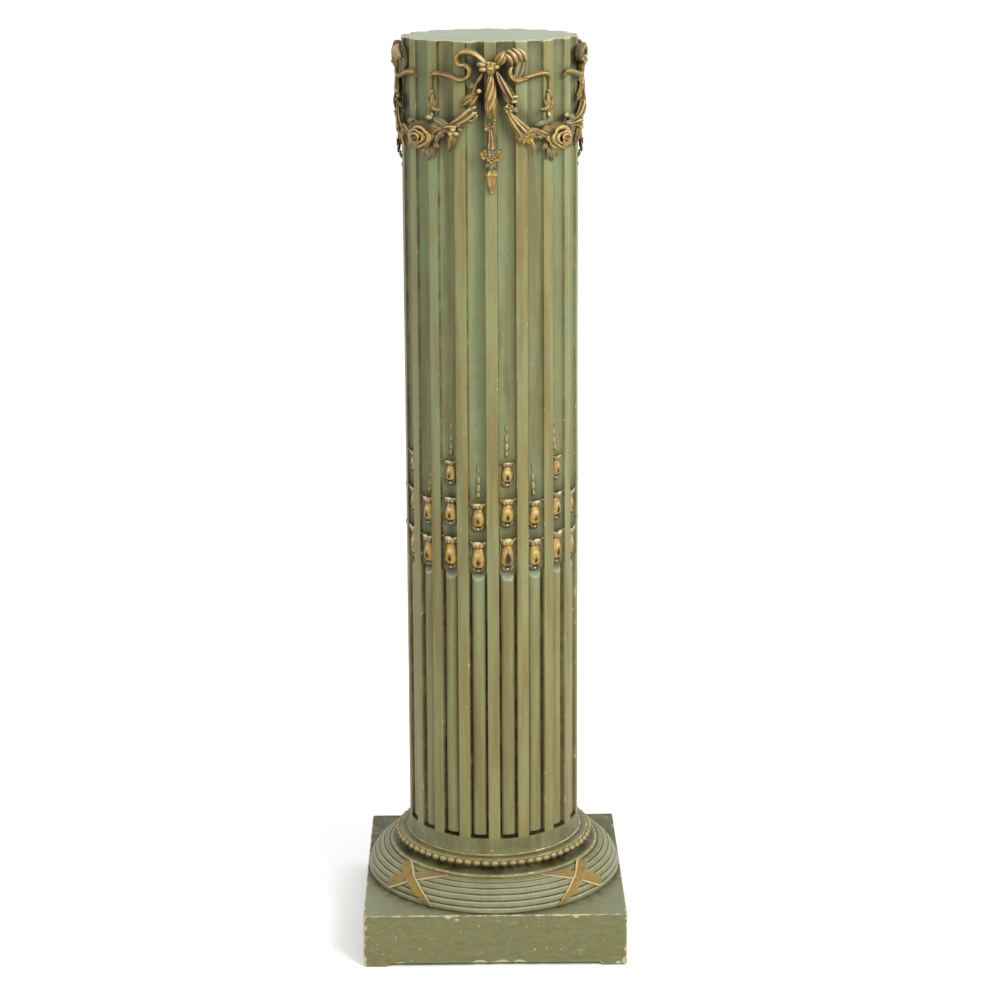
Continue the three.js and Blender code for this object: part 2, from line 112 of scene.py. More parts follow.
class BaseSizes(PropertyGroup):
    """Sizes of the base moulding."""

    cushion_radius: FloatProperty(
        name="Cushion radius", description="Widest radius of the cushion", unit="LENGTH",
        default=0.1633,
    )
    cushion_height: FloatProperty(
        name="Cushion height", description="Height of the cushion", unit="LENGTH", default=0.039
    )
    reeds: IntProperty(name="Reeds", description="Reeds round the cushion", default=6, min=2)
    beads: IntProperty(name="Beads", description="Beads round the rim", default=68, min=12)
    bead_radius: FloatProperty(
        name="Bead radius", description="Radius of one bead", unit="LENGTH", default=0.0046
    )
    ribbon_width: FloatProperty(
        name="Ribbon width", description="Width of the crossed ribbons", unit="LENGTH",
        default=0.0160,
    )


class ShaftSizes(PropertyGroup):
    """Sizes of the fluted shaft and its seed pods."""

    foot_radius: FloatProperty(
        name="Foot radius", description="Radius above the foot", unit="LENGTH", default=0.1095
    )
    top_radius: FloatProperty(
        name="Top radius", description="Radius at the top", unit="LENGTH", default=0.1065
    )
    flute_width: FloatProperty(
        name="Flute width", description="Width of a flute", unit="LENGTH", default=0.023
    )
    flute_depth: FloatProperty(
        name="Flute depth", description="Depth of a flute", unit="LENGTH", default=0.009
    )
    cable_top: FloatProperty(
        name="Cable top", description="Height of the cables above the foot", unit="LENGTH",
        default=0.358,
    )
    pod_width: FloatProperty(
        name="Pod width", description="Width of the lowest seed pods", unit="LENGTH",
        default=0.0205,
    )


class OrnamentSizes(PropertyGroup):
    """Sizes of the bows and swags."""

    ribbon_thickness: FloatProperty(
        name="Ribbon thickness", description="Thickness of the bows' loops", unit="LENGTH",
        default=0.0052,
    )
    ribbon_proud: FloatProperty(
        name="Ribbon stand", description="How far the loops stand out", unit="LENGTH",
        default=0.0105,
    )
    rose_radius: FloatProperty(
        name="Rose radius", description="Reach of a rose's outer petals", unit="LENGTH",
        default=0.021,
    )


class FinishColours(PropertyGroup):
    """Colours of the paint, the gilding and what shows where they are worn."""

    fillet_paint: FloatVectorProperty(
        name="Fillet paint", description="Green paint on what stands proud", subtype="COLOR",
        default=(0.158, 0.142, 0.048),
    )
    flute_paint: FloatVectorProperty(
        name="Flute paint", description="Green paint in the flutes", subtype="COLOR",
        default=(0.152, 0.180, 0.083),
    )
    brown_wash: FloatVectorProperty(
        name="Brown wash", description="Brown glaze rubbed over the paint", subtype="COLOR",
        default=(0.129, 0.081, 0.023),
    )
    # Also the colour of painted shade in hollows, under things and behind them.
    grime_and_shade: FloatVectorProperty(
        name="Dirt", description="Dirt in the hollows", subtype="COLOR",
        default=(0.022, 0.015, 0.005),
    )
    # Also the colour of painted highlights on the gilding.
    cream_ground_and_highlight: FloatVectorProperty(
        name="Gesso", description="Cream gesso on rubbed edges", subtype="COLOR",
        default=(0.460, 0.405, 0.250),
    )
    wood: FloatVectorProperty(
        name="Wood", description="Bare wood in the chips", subtype="COLOR",
        default=(0.270, 0.170, 0.070),
    )
    # Painted light: the lighter paint of the lit top and of painted highlights on crests, lips and rims.
    highlight_paint: FloatVectorProperty(
        name="Top paint", description="Faded paint on the top", subtype="COLOR",
        default=(0.262, 0.296, 0.214),
    )
    gold: FloatVectorProperty(
        name="Gold", description="Gilding", subtype="COLOR", default=(0.270, 0.172, 0.038)
    )
    rose_gold: FloatVectorProperty(
        name="Rubbed gold", description="Reddish ground under rubbed gilding", subtype="COLOR",
        default=(0.200, 0.120, 0.066),
    )
    silver: FloatVectorProperty(
        name="Greyed gold", description="Gilding gone grey", subtype="COLOR",
        default=(0.180, 0.175, 0.100),
    )


class StudioSettings(PropertyGroup):
    """Floor and light."""

    floor_colour: FloatVectorProperty(
        name="Floor", description="Colour of the floor", subtype="COLOR", default=(0.9, 0.9, 0.9)
    )
    key_power: FloatProperty(
        name="Key light", description="Power of the large light", unit="POWER", default=125.0
    )
    fill_power: FloatProperty(
        name="Fill light", description="Power of the fill light", unit="POWER", default=6.0
    )
    surround: FloatProperty(
        name="Surround", description="Brightness of the white room", default=1.13, min=0.0
    )


# Shapes


def smooth(stations, count):
    """Stations carried along a smooth line: between two of them each value is the cubic that
    passes through both and leaves each along the chord of its neighbours."""
    stations = np.asarray(stations, float)
    at = np.linspace(0, len(stations) - 1, count)
    low = np.clip(at.astype(int), 0, len(stations) - 2)
    part = (at - low)[:, None]
    ahead = 2 * stations[:1] - stations[1:2]
    behind = 2 * stations[-1:] - stations[-2:-1]
    padded = np.concatenate([ahead, stations, behind])
    before, here, there, after = (padded[low + k] for k in range(4))
    square = 2 * before - 5 * here + 4 * there - after
    cube = 3 * here - before - 3 * there + after
    return 0.5 * (2 * here + (there - before) * part + square * part**2 + cube * part**3)


def step(value, low, high):
    """0 below low, 1 above high, and the smooth cubic between them."""
    share = np.clip((value - low) / (high - low), 0, 1)
    return share * share * (3 - 2 * share)


def unit(vectors):
    """Vectors divided by their lengths."""
    lengths = np.linalg.norm(vectors, axis=-1, keepdims=True)
    return vectors / np.maximum(lengths, 1e-9)


def waves(points, length, seed):
    """A smooth uneven value from about -1 to 1: a third of the sum of seven sine waves that run
    in different directions, with lengths near the one given."""
    rng = np.random.default_rng(seed)
    runs = unit(rng.normal(size=(7, 3))) * (2 * np.pi / length) * rng.uniform(0.6, 1.5, (7, 1))
    phases = rng.uniform(0, 2 * np.pi, 7)
    return np.sin(points @ runs.T + phases).sum(-1) / 3.0


def corners(part):
    """The numbers of the three points of each face, with four-sided faces cut in two."""
    return np.concatenate([part["quads"][:, :3], part["quads"][:, [0, 2, 3]], part["tris"]])


def faced_out(part):
    """A part whose faces are turned over if they face inwards, which is where the sum of
    a . (b x c) over its faces isn't above 0."""
    a, b, c = (part["points"][corners(part)[:, k]] for k in range(3))
    if (a * np.cross(b, c)).sum() > 0:
        return part
    return {**part, "quads": part["quads"][:, ::-1], "tris": part["tris"][:, ::-1]}


def skin(rings, **marks):
    """A closed skin through rings of points: every row closes on itself, and the first and the
    last row are each drawn together to one point. A skin that faces inwards is turned over."""
    rows, columns = rings.shape[:2]

    def listed(values):
        values = np.broadcast_to(values, (rows, columns) + np.shape(values)[2:])
        inner = values[1:-1].reshape((-1,) + values.shape[2:])
        return np.concatenate([values[:1].mean(1), inner, values[-1:].mean(1)])

    points = listed(rings)
    at = 1 + np.arange((rows - 2) * columns).reshape(rows - 2, columns)
    after = np.roll(at, -1, axis=1)
    quads = np.stack([at[:-1], after[:-1], after[1:], at[1:]], -1).reshape(-1, 4)
    start = np.stack([np.zeros(columns, int), after[0], at[0]], -1)
    end = np.stack([np.full(columns, len(points) - 1), at[-1], after[-1]], -1)
    painted = {name: listed(np.asarray(marks.get(name, 0.0), float)) for name in MARKS}
    return faced_out({"points": points, "quads": quads, "tris": np.concatenate([start, end]), **painted})


def gathered(skins):
    """Several skins as one."""
    offsets = np.cumsum([0] + [len(one["points"]) for one in skins[:-1]])
    whole = {name: np.concatenate([one[name] for one in skins]) for name in ("points", *MARKS)}
    for name in ("quads", "tris"):
        whole[name] = np.concatenate([one[name] + k for one, k in zip(skins, offsets)])
    return whole


def frames_along(path, roll=0.0):
    """Three directions at each point of a path in (s, t, out): along it, to its side in the
    shaft's surface, and up from the shaft, the last two rolled about the path by an angle."""
    along = unit(np.gradient(path, axis=0))
    side = unit(np.cross(along, [0.0, 0.0, 1.0]))
    up = np.cross(side, along)
    turn = np.broadcast_to(roll, (len(path),))[:, None]
    return along, side * np.cos(turn) + up * np.sin(turn), up * np.cos(turn) - side * np.sin(turn)


def swept(stations, rows=22, columns=14, lobes=0, groove=0.0, twist=0.0, mouth=0.0, flat=0.75,
          tone=0.5, dark=0.0):
    """A round body along a path of stations (s, t, out, wide, deep). A ring's point at angle a is
    the path's point, plus side * wide * k * cos a, plus up * deep * k * sin a, where k is 1 less
    groove * (1 - cos(lobes * a + twist * share)) / 2, and the half towards the shaft is as much
    flatter as flat says. A mouth goes back inside the last ring. Its grooves take painted shade
    and grime, its underside and the inside of its mouth painted shade, and dark adds to that. The
    crests between its grooves on its upper side and the rim of its mouth take a painted highlight
    and rubbing."""
    line = smooth(stations, rows)
    path, wide, deep = line[:, :3], np.abs(line[:, 3:4]), np.abs(line[:, 4:5])
    along, side, up = frames_along(path)
    angle = np.linspace(0, 2 * np.pi, columns, endpoint=False)
    share = np.linspace(0, 1, rows)[:, None]
    wave = (1 - np.cos(lobes * angle + twist * share)) / 2 if lobes else 0 * angle + 0 * share
    k = 1 - groove * wave
    across = wide * k * np.cos(angle)
    rise = deep * k * np.where(np.sin(angle) < 0, flat, 1.0) * np.sin(angle)
    rings = path[:, None] + side[:, None] * across[..., None] + up[:, None] * rise[..., None]
    # Painted shade on the side towards the shaft, and a painted highlight on the crests facing out.
    under = np.clip(0.2 - 1.1 * np.sin(angle), 0, 1) + 0 * share
    hollow = np.clip(wave**1.5 * min(1, 3.2 * groove) + under + dark, 0, 1)
    edge = np.clip(1 - 2.2 * wave, 0, 1) * np.clip(0.3 + np.sin(angle), 0, 1)
    if mouth:
        middle = rings[-1].mean(0)
        folds = ((0.86, 0.25), (0.66, 0.8), (0.3, 1.0))
        back = [middle + (rings[-1] - middle) * k - along[-1] * mouth * d for k, d in folds]
        rings = np.concatenate([rings, back])
        hollow = np.concatenate([hollow, [under[0] + h for h in (0.3, 0.8, 1.0)]])
        edge = np.concatenate([edge, np.zeros((3, columns))])
        edge[rows - 2 : rows] = 1.0
    return skin(rings, hollow=np.clip(hollow, 0, 1), edge=edge, tone=tone)


def sheet(front, thick, hollow=0.0, edge=0.0, tone=0.5, back=1.0):
    """A thin closed sheet about a grid of points whose first and last rows run to a tip. Each
    point goes half the thickness to both sides along the grid's normal, times the root of
    1 - x * x across it, so that its rims are round. Its back, towards the shaft, takes painted
    shade by a mark of its own."""
    columns = front.shape[1]
    normal = unit(np.cross(np.gradient(front, axis=0), np.gradient(front, axis=1)))
    across = np.linspace(-1, 1, columns)
    thick = np.broadcast_to(thick, (len(front),))[:, None, None]
    half = thick / 2 * np.sqrt(1 - across**2)[:, None]
    upper, lower = front + normal * half, front - normal * half
    if (upper - lower)[..., 2].sum() < 0:
        upper, lower = lower, upper

    def ring(over, below):
        return np.concatenate([over, below[:, -2:0:-1]], axis=1)

    shape = front.shape[:2]
    marks = [np.broadcast_to(mark, shape) for mark in (hollow, edge)]
    # The side towards the shaft is darkened as painted shade, as much as back says.
    return skin(
        ring(upper, lower),
        hollow=ring(marks[0], np.full(shape, back)),
        edge=ring(marks[1], np.zeros(shape)),
        tone=tone,
    )


def leaf(start, end, wide, rise=3.0, fold=0.3, tip=0.8, thick=1.5, tone=0.5, lift=1.0, ribs=3):
    """A leaf from one flat point to another. Its spine rises by rise * sin(pi * share), its half
    width is wide / 2 * sin(pi * share^tip)^0.8, and it drops by fold for each step from its
    spine, with veins or ribs along it."""
    rows, columns = 16, 9 if ribs < 4 else 17
    share = np.linspace(0, 1, rows)[:, None]
    x = np.sin(np.linspace(-np.pi / 2, np.pi / 2, columns))[None, :]
    start, end = np.asarray(start, float), np.asarray(end, float)
    run = end - start
    side = np.array([-run[1], run[0]]) / np.hypot(*run)
    half = wide / 2 * np.sin(np.pi * share**tip) ** 0.8
    flat = start + run * share[..., None] + side * (half * x)[..., None]
    high = lift + rise * np.sin(np.pi * share) - fold * np.abs(x) * half
    wave = np.cos(ribs * np.pi * x)
    high = high + (0.35 if ribs < 4 else 0.55) * wave * np.sin(np.pi * share)
    front = np.concatenate([flat, high[..., None]], axis=-1)
    # A painted highlight and rubbing along the spine and rims, painted shade between the veins and near the
    # leaf's foot.
    ridge = np.clip(1 - 2.2 * np.abs(x), 0, 1) * 0.8 + np.clip(4 * np.abs(x) - 3.2, 0, 1) * 0.4
    ridge = ridge * (0.4 + 0.6 * np.sin(np.pi * share**1.6))
    valley = np.clip(0.2 - wave, 0, 1) * 0.7 + np.clip(0.35 - share, 0, 1) * 1.2
    return sheet(front, thick, hollow=valley, edge=ridge, tone=tone)


def rosette(centre, radius, petals, cup=2.0, notch=0.35, heart=1.5, turn=0.0, thick=2.2, tone=0.5):
    """Petals opened round a centre (s, t, out). At angle a the rim reaches radius * (1 - notch *
    (1 - lobe)^1.5), where lobe is |cos(petals * (a - turn) / 2)|. At a share of the way to the
    rim the front rises by cup * share^2, by heart * exp(-18 * share^2) in the middle, and sinks
    by cup / 4 * (1 - lobe) * share between petals. The back follows it, the thickness below."""
    columns = int(6 * petals) if petals < 9 else int(4 * petals)
    angle = np.linspace(0, 2 * np.pi, columns, endpoint=False)[None]
    lobe = np.abs(np.cos(petals * (angle - turn) / 2))
    reach = radius * (1 - notch * (1 - lobe) ** 1.5)
    share = np.concatenate([np.linspace(0, 1, 9), np.linspace(0.93, 0, 5)])[:, None]
    front = (np.arange(14) < 9)[:, None]
    x = share * reach * np.cos(angle)
    y = share * reach * np.sin(angle)
    rise = cup * share**2 + heart * np.exp(-18 * share**2)
    rise = rise - 0.25 * cup * (1 - lobe) * share
    high = np.where(front, rise, rise - thick * (1 - share**6))
    rings = np.stack([centre[0] + x, centre[1] + y, centre[2] + high], -1)
    # Painted shade in the creases between petals and over the whole back, a painted highlight on the rims
    # and the middle.
    crease = (1 - lobe) * np.sin(np.pi * share) + np.exp(-((share - 0.3) / 0.1) ** 2) * 0.5
    hollow = np.where(front, np.clip(crease, 0, 1), 1.0)
    edge = np.where(front, np.clip(share * 3 - 2.1, 0, 1) * lobe + (share < 0.15), 0.0)
    return skin(rings, hollow=hollow, edge=edge, tone=tone)


def ball(centre, wide, tall, deep, grooves=0, tone=0.5):
    """A bead or berry: a point at height angle b and turn a lies at centre plus (wide * cos b *
    cos a, tall * sin b, deep * cos b * sin a), with grooves cut in as 0.12 * cos(grooves * a)."""
    b = np.linspace(-np.pi / 2, np.pi / 2, 9)[:, None]
    a = np.linspace(0, 2 * np.pi, 12, endpoint=False)[None]
    k = 1 - 0.12 * np.cos(grooves * a) * (grooves > 0)
    x = wide * np.cos(b) * np.cos(a) * k
    y = tall * np.sin(b) + 0 * a
    z = deep * np.cos(b) * np.sin(a) * k
    rings = np.stack([centre[0] + x, centre[1] + y, centre[2] + z], -1)
    # Painted shade on the side towards the shaft and in the grooves, a painted highlight on the side facing
    # out.
    up = np.cos(b) * np.sin(a)
    hollow = np.clip(-up + 0.1 + 0.5 * (k < 1) * (grooves > 0), 0, 1)
    return skin(rings, hollow=hollow, edge=np.clip(1.6 * up - 0.5, 0, 1), tone=tone)


def ribbon(stations, rows=60, thick=(3.0,), ribs=3, rib=0.5, across=0.0, tone=0.3):
    """A ribbon along stations (s, t, out, half width, roll in degrees), its thickness given at
    even steps. Across it x runs from -1 to 1 along the rolled side direction, and it swells by
    rib * cos(pi * ribs * x + across * share) * (1 - x^6), so that a number across it slants its
    ribs. Its half width is multiplied by sin(pi * share)^0.12, which closes its ends."""
    line = smooth(stations, rows)
    path = line[:, :3]
    roll = np.radians(line[:, 4])
    _, side, up = frames_along(path, roll)
    share = np.linspace(0, 1, rows)[:, None]
    half = np.abs(line[:, 3:4]) * np.sin(np.pi * np.clip(share, 0.001, 0.999)) ** 0.12
    x = np.sin(np.linspace(-np.pi / 2, np.pi / 2, 13))[None]
    wave = np.cos(np.pi * ribs * x + across * share)
    swell = rib * wave * (1 - x**6)
    front = path[:, None] + side[:, None] * (half * x)[..., None] + up[:, None] * swell[..., None]
    rim = np.clip(6 * np.abs(x) - 5, 0, 1)
    body = np.interp(share[:, 0], np.linspace(0, 1, len(thick)), thick)
    # Painted shade between the ribs and, at half strength, on the side towards the shaft; a painted
    # highlight and rubbing on the rib crests and rims.
    return sheet(
        front, body, hollow=np.clip(0.5 - 0.5 * wave, 0, 1) * (1 - rim),
        edge=np.clip(wave, 0, 1) * 0.5 + 0.7 * rim, tone=tone, back=0.5,
    )


def wrapped(part, turn, sizes):
    """A flat part put round the shaft: a point (s, t, out) goes to the angle s / top radius plus
    turn, at the radius of the tapering shaft there plus out, and t below the shaft's top."""
    s, t, out = part["points"].T
    foot, top = SHAFT_BOX[0].z * MM, SHAFT_BOX[1].z * MM
    narrow, full = sizes.top_radius * MM, sizes.foot_radius * MM
    radius = narrow - t * (full - narrow) / (top - foot) + out
    angle = s / narrow + turn
    round_it = np.stack([radius * np.sin(angle), -radius * np.cos(angle), top + t], -1)
    return {**part, "points": round_it}


def with_painted_light(part):
    """A placed part given painted light: a painted highlight and more rubbing where it faces up and
    outwards, and painted shade where it faces down or back. The mean of the faces round a point
    gives up, its rise, and out, how far it faces away from the shaft. The rubbing and highlight
    mark is multiplied by 0.2 + 0.6 * out + 0.9 * up, and the shade and grime mark gains 0.55 * -up
    and 0.5 * (0.4 - out), each where it is above 0."""
    points, faces = part["points"], corners(part)
    a, b, c = (points[faces[:, k]] for k in range(3))
    normal = np.zeros_like(points)
    for k in range(3):
        np.add.at(normal, faces[:, k], np.cross(b - a, c - a))
    normal = unit(normal)
    out = (normal * unit(points * [1, 1, 0])).sum(-1)
    up = normal[:, 2]
    edge = part["edge"] * np.clip(0.2 + 0.6 * out + 0.9 * up, 0, 1.2)
    hollow = part["hollow"] + 0.55 * np.clip(-up, 0, 1) + 0.5 * np.clip(0.4 - out, 0, 1)
    return {**part, "edge": edge, "hollow": np.clip(hollow, 0, 1.2)}


def placed_round(parts, index, shaft):
    """Flat parts wrapped round the shaft at one of the four places, given painted light and shade, as one
    part.
    """
    turn = index * np.pi / 2
    placed = [with_painted_light(faced_out(wrapped(part, turn, shaft))) for part in parts]
    return gathered(placed)


def make_piece(name, part, material, slot, *nodes):
    """A mesh object of one part, in metres, with its marks as attributes, riding on the frame's
    body and standing for the nodes named."""
    mesh = bpy.data.meshes.new(name)
    quads, tris = part["quads"], part["tris"]
    indices = np.concatenate([quads.ravel(), tris.ravel()]).astype(np.int32)
    sizes = np.concatenate([np.full(len(quads), 4), np.full(len(tris), 3)]).astype(np.int32)
    starts = np.concatenate([[0], np.cumsum(sizes)[:-1]]).astype(np.int32)
    mesh.vertices.add(len(part["points"]))
    mesh.vertices.foreach_set("co", (part["points"] / MM).astype(np.float32).ravel())
    mesh.loops.add(len(indices))
    mesh.loops.foreach_set("vertex_index", indices)
    mesh.polygons.add(len(sizes))
    mesh.polygons.foreach_set("loop_start", starts)
    mesh.polygons.foreach_set("loop_total", sizes)
    mesh.polygons.foreach_set("use_smooth", np.ones(len(sizes), bool))
    for mark in MARKS:
        layer = mesh.attributes.new(mark, "FLOAT", "POINT")
        layer.data.foreach_set("value", part[mark].astype(np.float32))
    mesh.update()
    mesh.validate()
    mesh.materials.append(material)
    piece = bpy.data.objects.new(name, mesh)
    bpy.context.scene.collection.objects.link(piece)
    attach(piece, "root")
    if nodes:
        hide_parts(*nodes)


# Plinth


def square_ring(half, corner, columns):
    """Points round a square with rounded corners, in order, closest together near the corners: a
    point of the sharp square is brought to the smaller square inside by the corner's radius, and
    goes out from there by that radius towards where it was."""
    inner = np.linspace(-1, 1, columns + 1)[:-1]
    bent = inner + 0.035 * np.sin(np.pi * inner)
    one = np.ones_like(bent)
    x = np.concatenate([bent, one, -bent, -one]) * half
    y = np.concatenate([-one, bent, one, -bent]) * half
    sharp = np.stack([x, y], -1)
    inside = np.clip(sharp, corner - half, half - corner)
    return inside + corner * unit(sharp - inside)


def knocked(points, centres, reach, depth, inward):
    """Points pushed in by chips: each moves a point nearer than its reach by depth * (1 -
    distance^2 / reach^2)^1.5 along its inward direction. A distance counts 0.72 across and 1.3 in
    height, so a chip is wider than high. Also returns how chipped each point is."""
    gap = np.linalg.norm((points[:, None] - centres[None]) * [0.72, 0.72, 1.3], axis=-1) / reach
    force = np.clip(1 - gap**2, 0, 1) ** 1.5
    moved = points + (force[..., None] * (depth[:, None] * inward)[None]).sum(1)
    return moved, np.clip(force, 0, 1).max(1)


def plinth_rings(sizes, outline):
    """Rings from the middle of the top, out over the rounded arris, down the side and under to the
    middle again. Under the block the height is pad height * (1 - pad(x) * pad(y)), where pad goes
    smoothly from 0 to 1 over the pad's sloping side."""
    half, top = sizes.side * MM / 2, sizes.top * MM
    lift, width = sizes.pad_height * MM, sizes.pad_width * MM
    bend = 1.3
    arc = np.radians([12, 30, 48, 66, 82])
    over_top = [0.0, 0.4, 0.62, 0.72, 0.8, 0.86, 0.9, 0.93, 0.955, 0.972, 0.984]
    insets = [(1 - k) * half for k in over_top] + [bend]
    drops = [0.0] * len(insets)
    insets += list(bend * (1 - np.sin(arc)))
    drops += list(bend * (1 - np.cos(arc)))
    rows = np.concatenate([[bend, 2.6, 4.2, 6.5], np.linspace(9, 52, 15), [55, 57.5, 59.5, 61, 62.4]])
    insets += [0.0] * len(rows)
    drops += list(rows)
    insets, drops = np.array(insets), np.array(drops)[:, None]
    ring = outline[None] * (1 - insets / half)[:, None, None]
    z = top - drops + 0 * ring[..., 0]

    def pad(across):
        return step(np.abs(across), half - width, half - width + 6)

    below = np.array([0, 0.25, 0.7, 1.4, 3, 6, 10, 16, 22, 26, 28, 29.5, 31, 32.5, 34, 36, 60, 110, 165])
    under = outline[None] * (1 - below / half)[:, None, None]
    round_up = np.array([1.4, 0.75, 0.3, 0.05] + [0.0] * 15)[:, None]
    z_under = lift * (1 - pad(under[..., 0]) * pad(under[..., 1])) + round_up
    foot = lift * (1 - pad(outline[:, 0]) * pad(outline[:, 1]))
    side_foot = foot[None] + 1.4
    z = np.where(drops > 4.0, z + step(drops, 4.0, 62.4) * (side_foot - (top - 62.4)), z)
    return np.concatenate([
        np.concatenate([ring, z[..., None]], -1), np.concatenate([under, z_under[..., None]], -1)
    ])


def plinth_chips(sizes, outline):
    """Where the plinth is chipped, how far each chip reaches and how deep it is: scattered along
    the upper and lower edges, down the corners, and at the front where the photograph shows it."""
    half, top, count = sizes.side * MM / 2, sizes.top * MM, sizes.chips
    rng = np.random.default_rng(21)
    where = outline[rng.integers(0, len(outline), count)]
    high = rng.random(count) < 0.45
    centres = np.stack([where[:, 0], where[:, 1], np.where(high, top, 3.5)], -1)
    corner = np.array([[sx * half, sy * half, z] for sx in (-1, 1) for sy in (-1, 1)
                       for z in (66.0, 52.0, 30.0, 12.0, 2.0)])
    corner = corner + rng.normal(0, [[0.3, 0.3, 4.0]], corner.shape)
    seen = np.array([[-60, -half, 66.0], [-48, -half, 63.5], [-20, -half, 4.0], [8, -half, 3.6],
                     [30, -half, 4.5], [62, -half, 3.5], [100, -half, 66.5], [-120, -half, 3.0]])
    reach = np.concatenate([rng.uniform(1.6, 4, count), rng.uniform(2.5, 6, len(corner)),
                            [5, 4, 9, 12, 8, 5, 5, 7]])
    depth = np.concatenate([rng.uniform(0.25, 0.9, count), rng.uniform(0.6, 1.4, len(corner)),
                            [0.6, 0.5, 0.8, 0.9, 0.8, 0.6, 0.7, 0.8]])
    return np.concatenate([centres, corner, seen]), reach, depth


def plinth_part(sizes):
    """The plinth, slightly uneven and chipped. Its edges are rubbed and take a painted highlight.
    Grime and painted shade lie beside the base moulding, towards the back of the top and
    underneath, and a painted highlight makes the top lighter at the front."""
    half, top = sizes.side * MM / 2, sizes.top * MM
    outline = square_ring(half, 1.6, 132)
    rings = plinth_rings(sizes, outline)
    flat = rings.reshape(-1, 3)
    flat = flat + 0.16 * np.stack([waves(flat, 90, 3), waves(flat, 90, 4), 0 * flat[:, 0]], -1)
    flat[:, :2] = np.clip(flat[:, :2], -half, half)
    centres, reach, depth = plinth_chips(sizes, outline)
    inward = unit((np.array([0, 0, top / 2]) - centres) * [1, 1, 1.6])
    flat, chipped = knocked(flat, centres, reach, depth, inward)
    rings = flat.reshape(rings.shape)
    chipped = chipped.reshape(rings.shape[:2])

    on_top = rings[..., 2] > top - 1
    near_top = np.exp(-((rings[..., 2] - top) / 1.6) ** 2)
    out_x = half - np.abs(rings[..., 0])
    out_y = half - np.abs(rings[..., 1])
    near_side = np.exp(-(np.minimum(out_x, out_y) / 1.8) ** 2)
    arris = near_top * near_side + np.exp(-((out_x**2 + out_y**2) / 6.0))
    low_edge = np.exp(-((rings[..., 2] - 4) / 2.2) ** 2) * near_side
    edge = np.clip(0.9 * arris + 0.5 * low_edge, 0, 1) + 1.15 * chipped
    radius = np.hypot(rings[..., 0], rings[..., 1])
    # Grime and painted shade beside the base moulding, towards the back of the top and underneath.
    beside = np.exp(-((radius - 164) / 7.0) ** 2) * on_top
    to_back = on_top * step(rings[..., 1], -40, 110)
    below = (rings[..., 2] < 6) * (1 - near_side) + 0.8 * to_back
    # A painted highlight: the top is lighter towards the front.
    pale = 0.24 * on_top * step(-rings[..., 1], -30, 120)
    return skin(rings, edge=edge, hollow=np.clip(0.8 * beside + below, 0, 1), tone=0.45, pale=pale)


# Base moulding


def cushion_point(sizes, angle, lift):
    """A point of the cushion's round profile, the angle measured from its crown: the radius is
    centre + wide * sin(angle) and the height tall * cos(angle), both larger by the lift."""
    wide = sizes.cushion_radius * MM - CUSHION_CENTRE + lift
    tall = sizes.cushion_height * MM + lift
    return CUSHION_CENTRE + wide * np.sin(angle), tall * np.cos(angle)


def base_profile(sizes):
    """Radius, height and marks down the moulding's outline: the rubbing and highlight mark and the
    shade and grime mark. Each reed bulges as (1 - |x|^3.2)^0.6 between two grooves, the scotia
    above is a quarter round, and the rim and the ring on top have small rounded edges. The upper
    lip of each reed takes a painted highlight, and the grooves and the scotia painted shade."""
    rim, neck, high = 122.5, 112.7, (BASE_BOX[1].z - BASE_BOX[0].z) * MM
    x = np.sin(np.linspace(-np.pi / 2, np.pi / 2, 11))
    width = np.radians(90 - 17.5) / sizes.reeds
    rows = []
    for reed in range(sizes.reeds):
        angle = np.pi / 2 - width * (reed + (1 + x[:-1]) / 2)
        bulge = np.clip(1 - np.abs(x[:-1]) ** 3.2, 0, 1) ** 0.6
        radius, height = cushion_point(sizes, angle, -2.0 * (1 - bulge))
        # A painted highlight on each reed's upper lip, and painted shade in the grooves between reeds.
        lip = np.exp(-((x[:-1] - 0.62) / 0.25) ** 2)
        rows.append(np.stack([radius, height, 0.75 * lip, np.clip(1.15 - 1.3 * bulge, 0, 1)], -1))
    rows[0][0, 1] = 0.0
    fillet = [[134.9, 36.1, 0, 0.8], [134.6, 37.6, 0.3, 0.2], [133.9, 38.9, 0.9, 0],
              [132.7, 39.4, 0.8, 0], [131.0, 39.5, 0.3, 0.3]]
    turn = np.linspace(0.12, 1, 9) * np.pi / 2
    scotia = np.stack([131 - 12.6 * np.sin(turn), 45.6 - 6.0 * np.cos(turn),
                       0 * turn, 0.55 + 0.45 * np.sin(turn)], -1)
    up = [[119.0, 46.2, 0, 1], [121.4, 46.6, 0.1, 0.8], [122.3, 47.4, 0.4, 0.5], [rim, 48.6, 0.2, 0.6],
          [124.9, 49.4, 0, 1], [125.3, 50.8, 0, 1], [124.2, 52.6, 0, 0.9], [122.4, 54.2, 0.3, 0.4],
          [121.8, 55.1, 0.9, 0],
          [120.8, 55.5, 0.6, 0], [118.0, 55.8, 0.1, 0.2], [115.0, 56.2, 0, 0.5],
          [113.4, 56.5, 0, 0.8], [112.9, 56.9, 0.2, 0.5], [neck, 57.5, 0.5, 0],
          [112.6, high - 0.5, 1, 0], [112.1, high - 0.1, 0.9, 0], [111.4, high, 0.2, 0.4]]
    ends = [[90.0, high, 0, 1], [0.0, high, 0, 1]]
    start = [[0.0, 0.0, 0, 1], [120.0, 0.0, 0, 1], [155.0, 0.0, 0, 1]]
    return np.concatenate([start, *rows, fillet, scotia, up, ends])


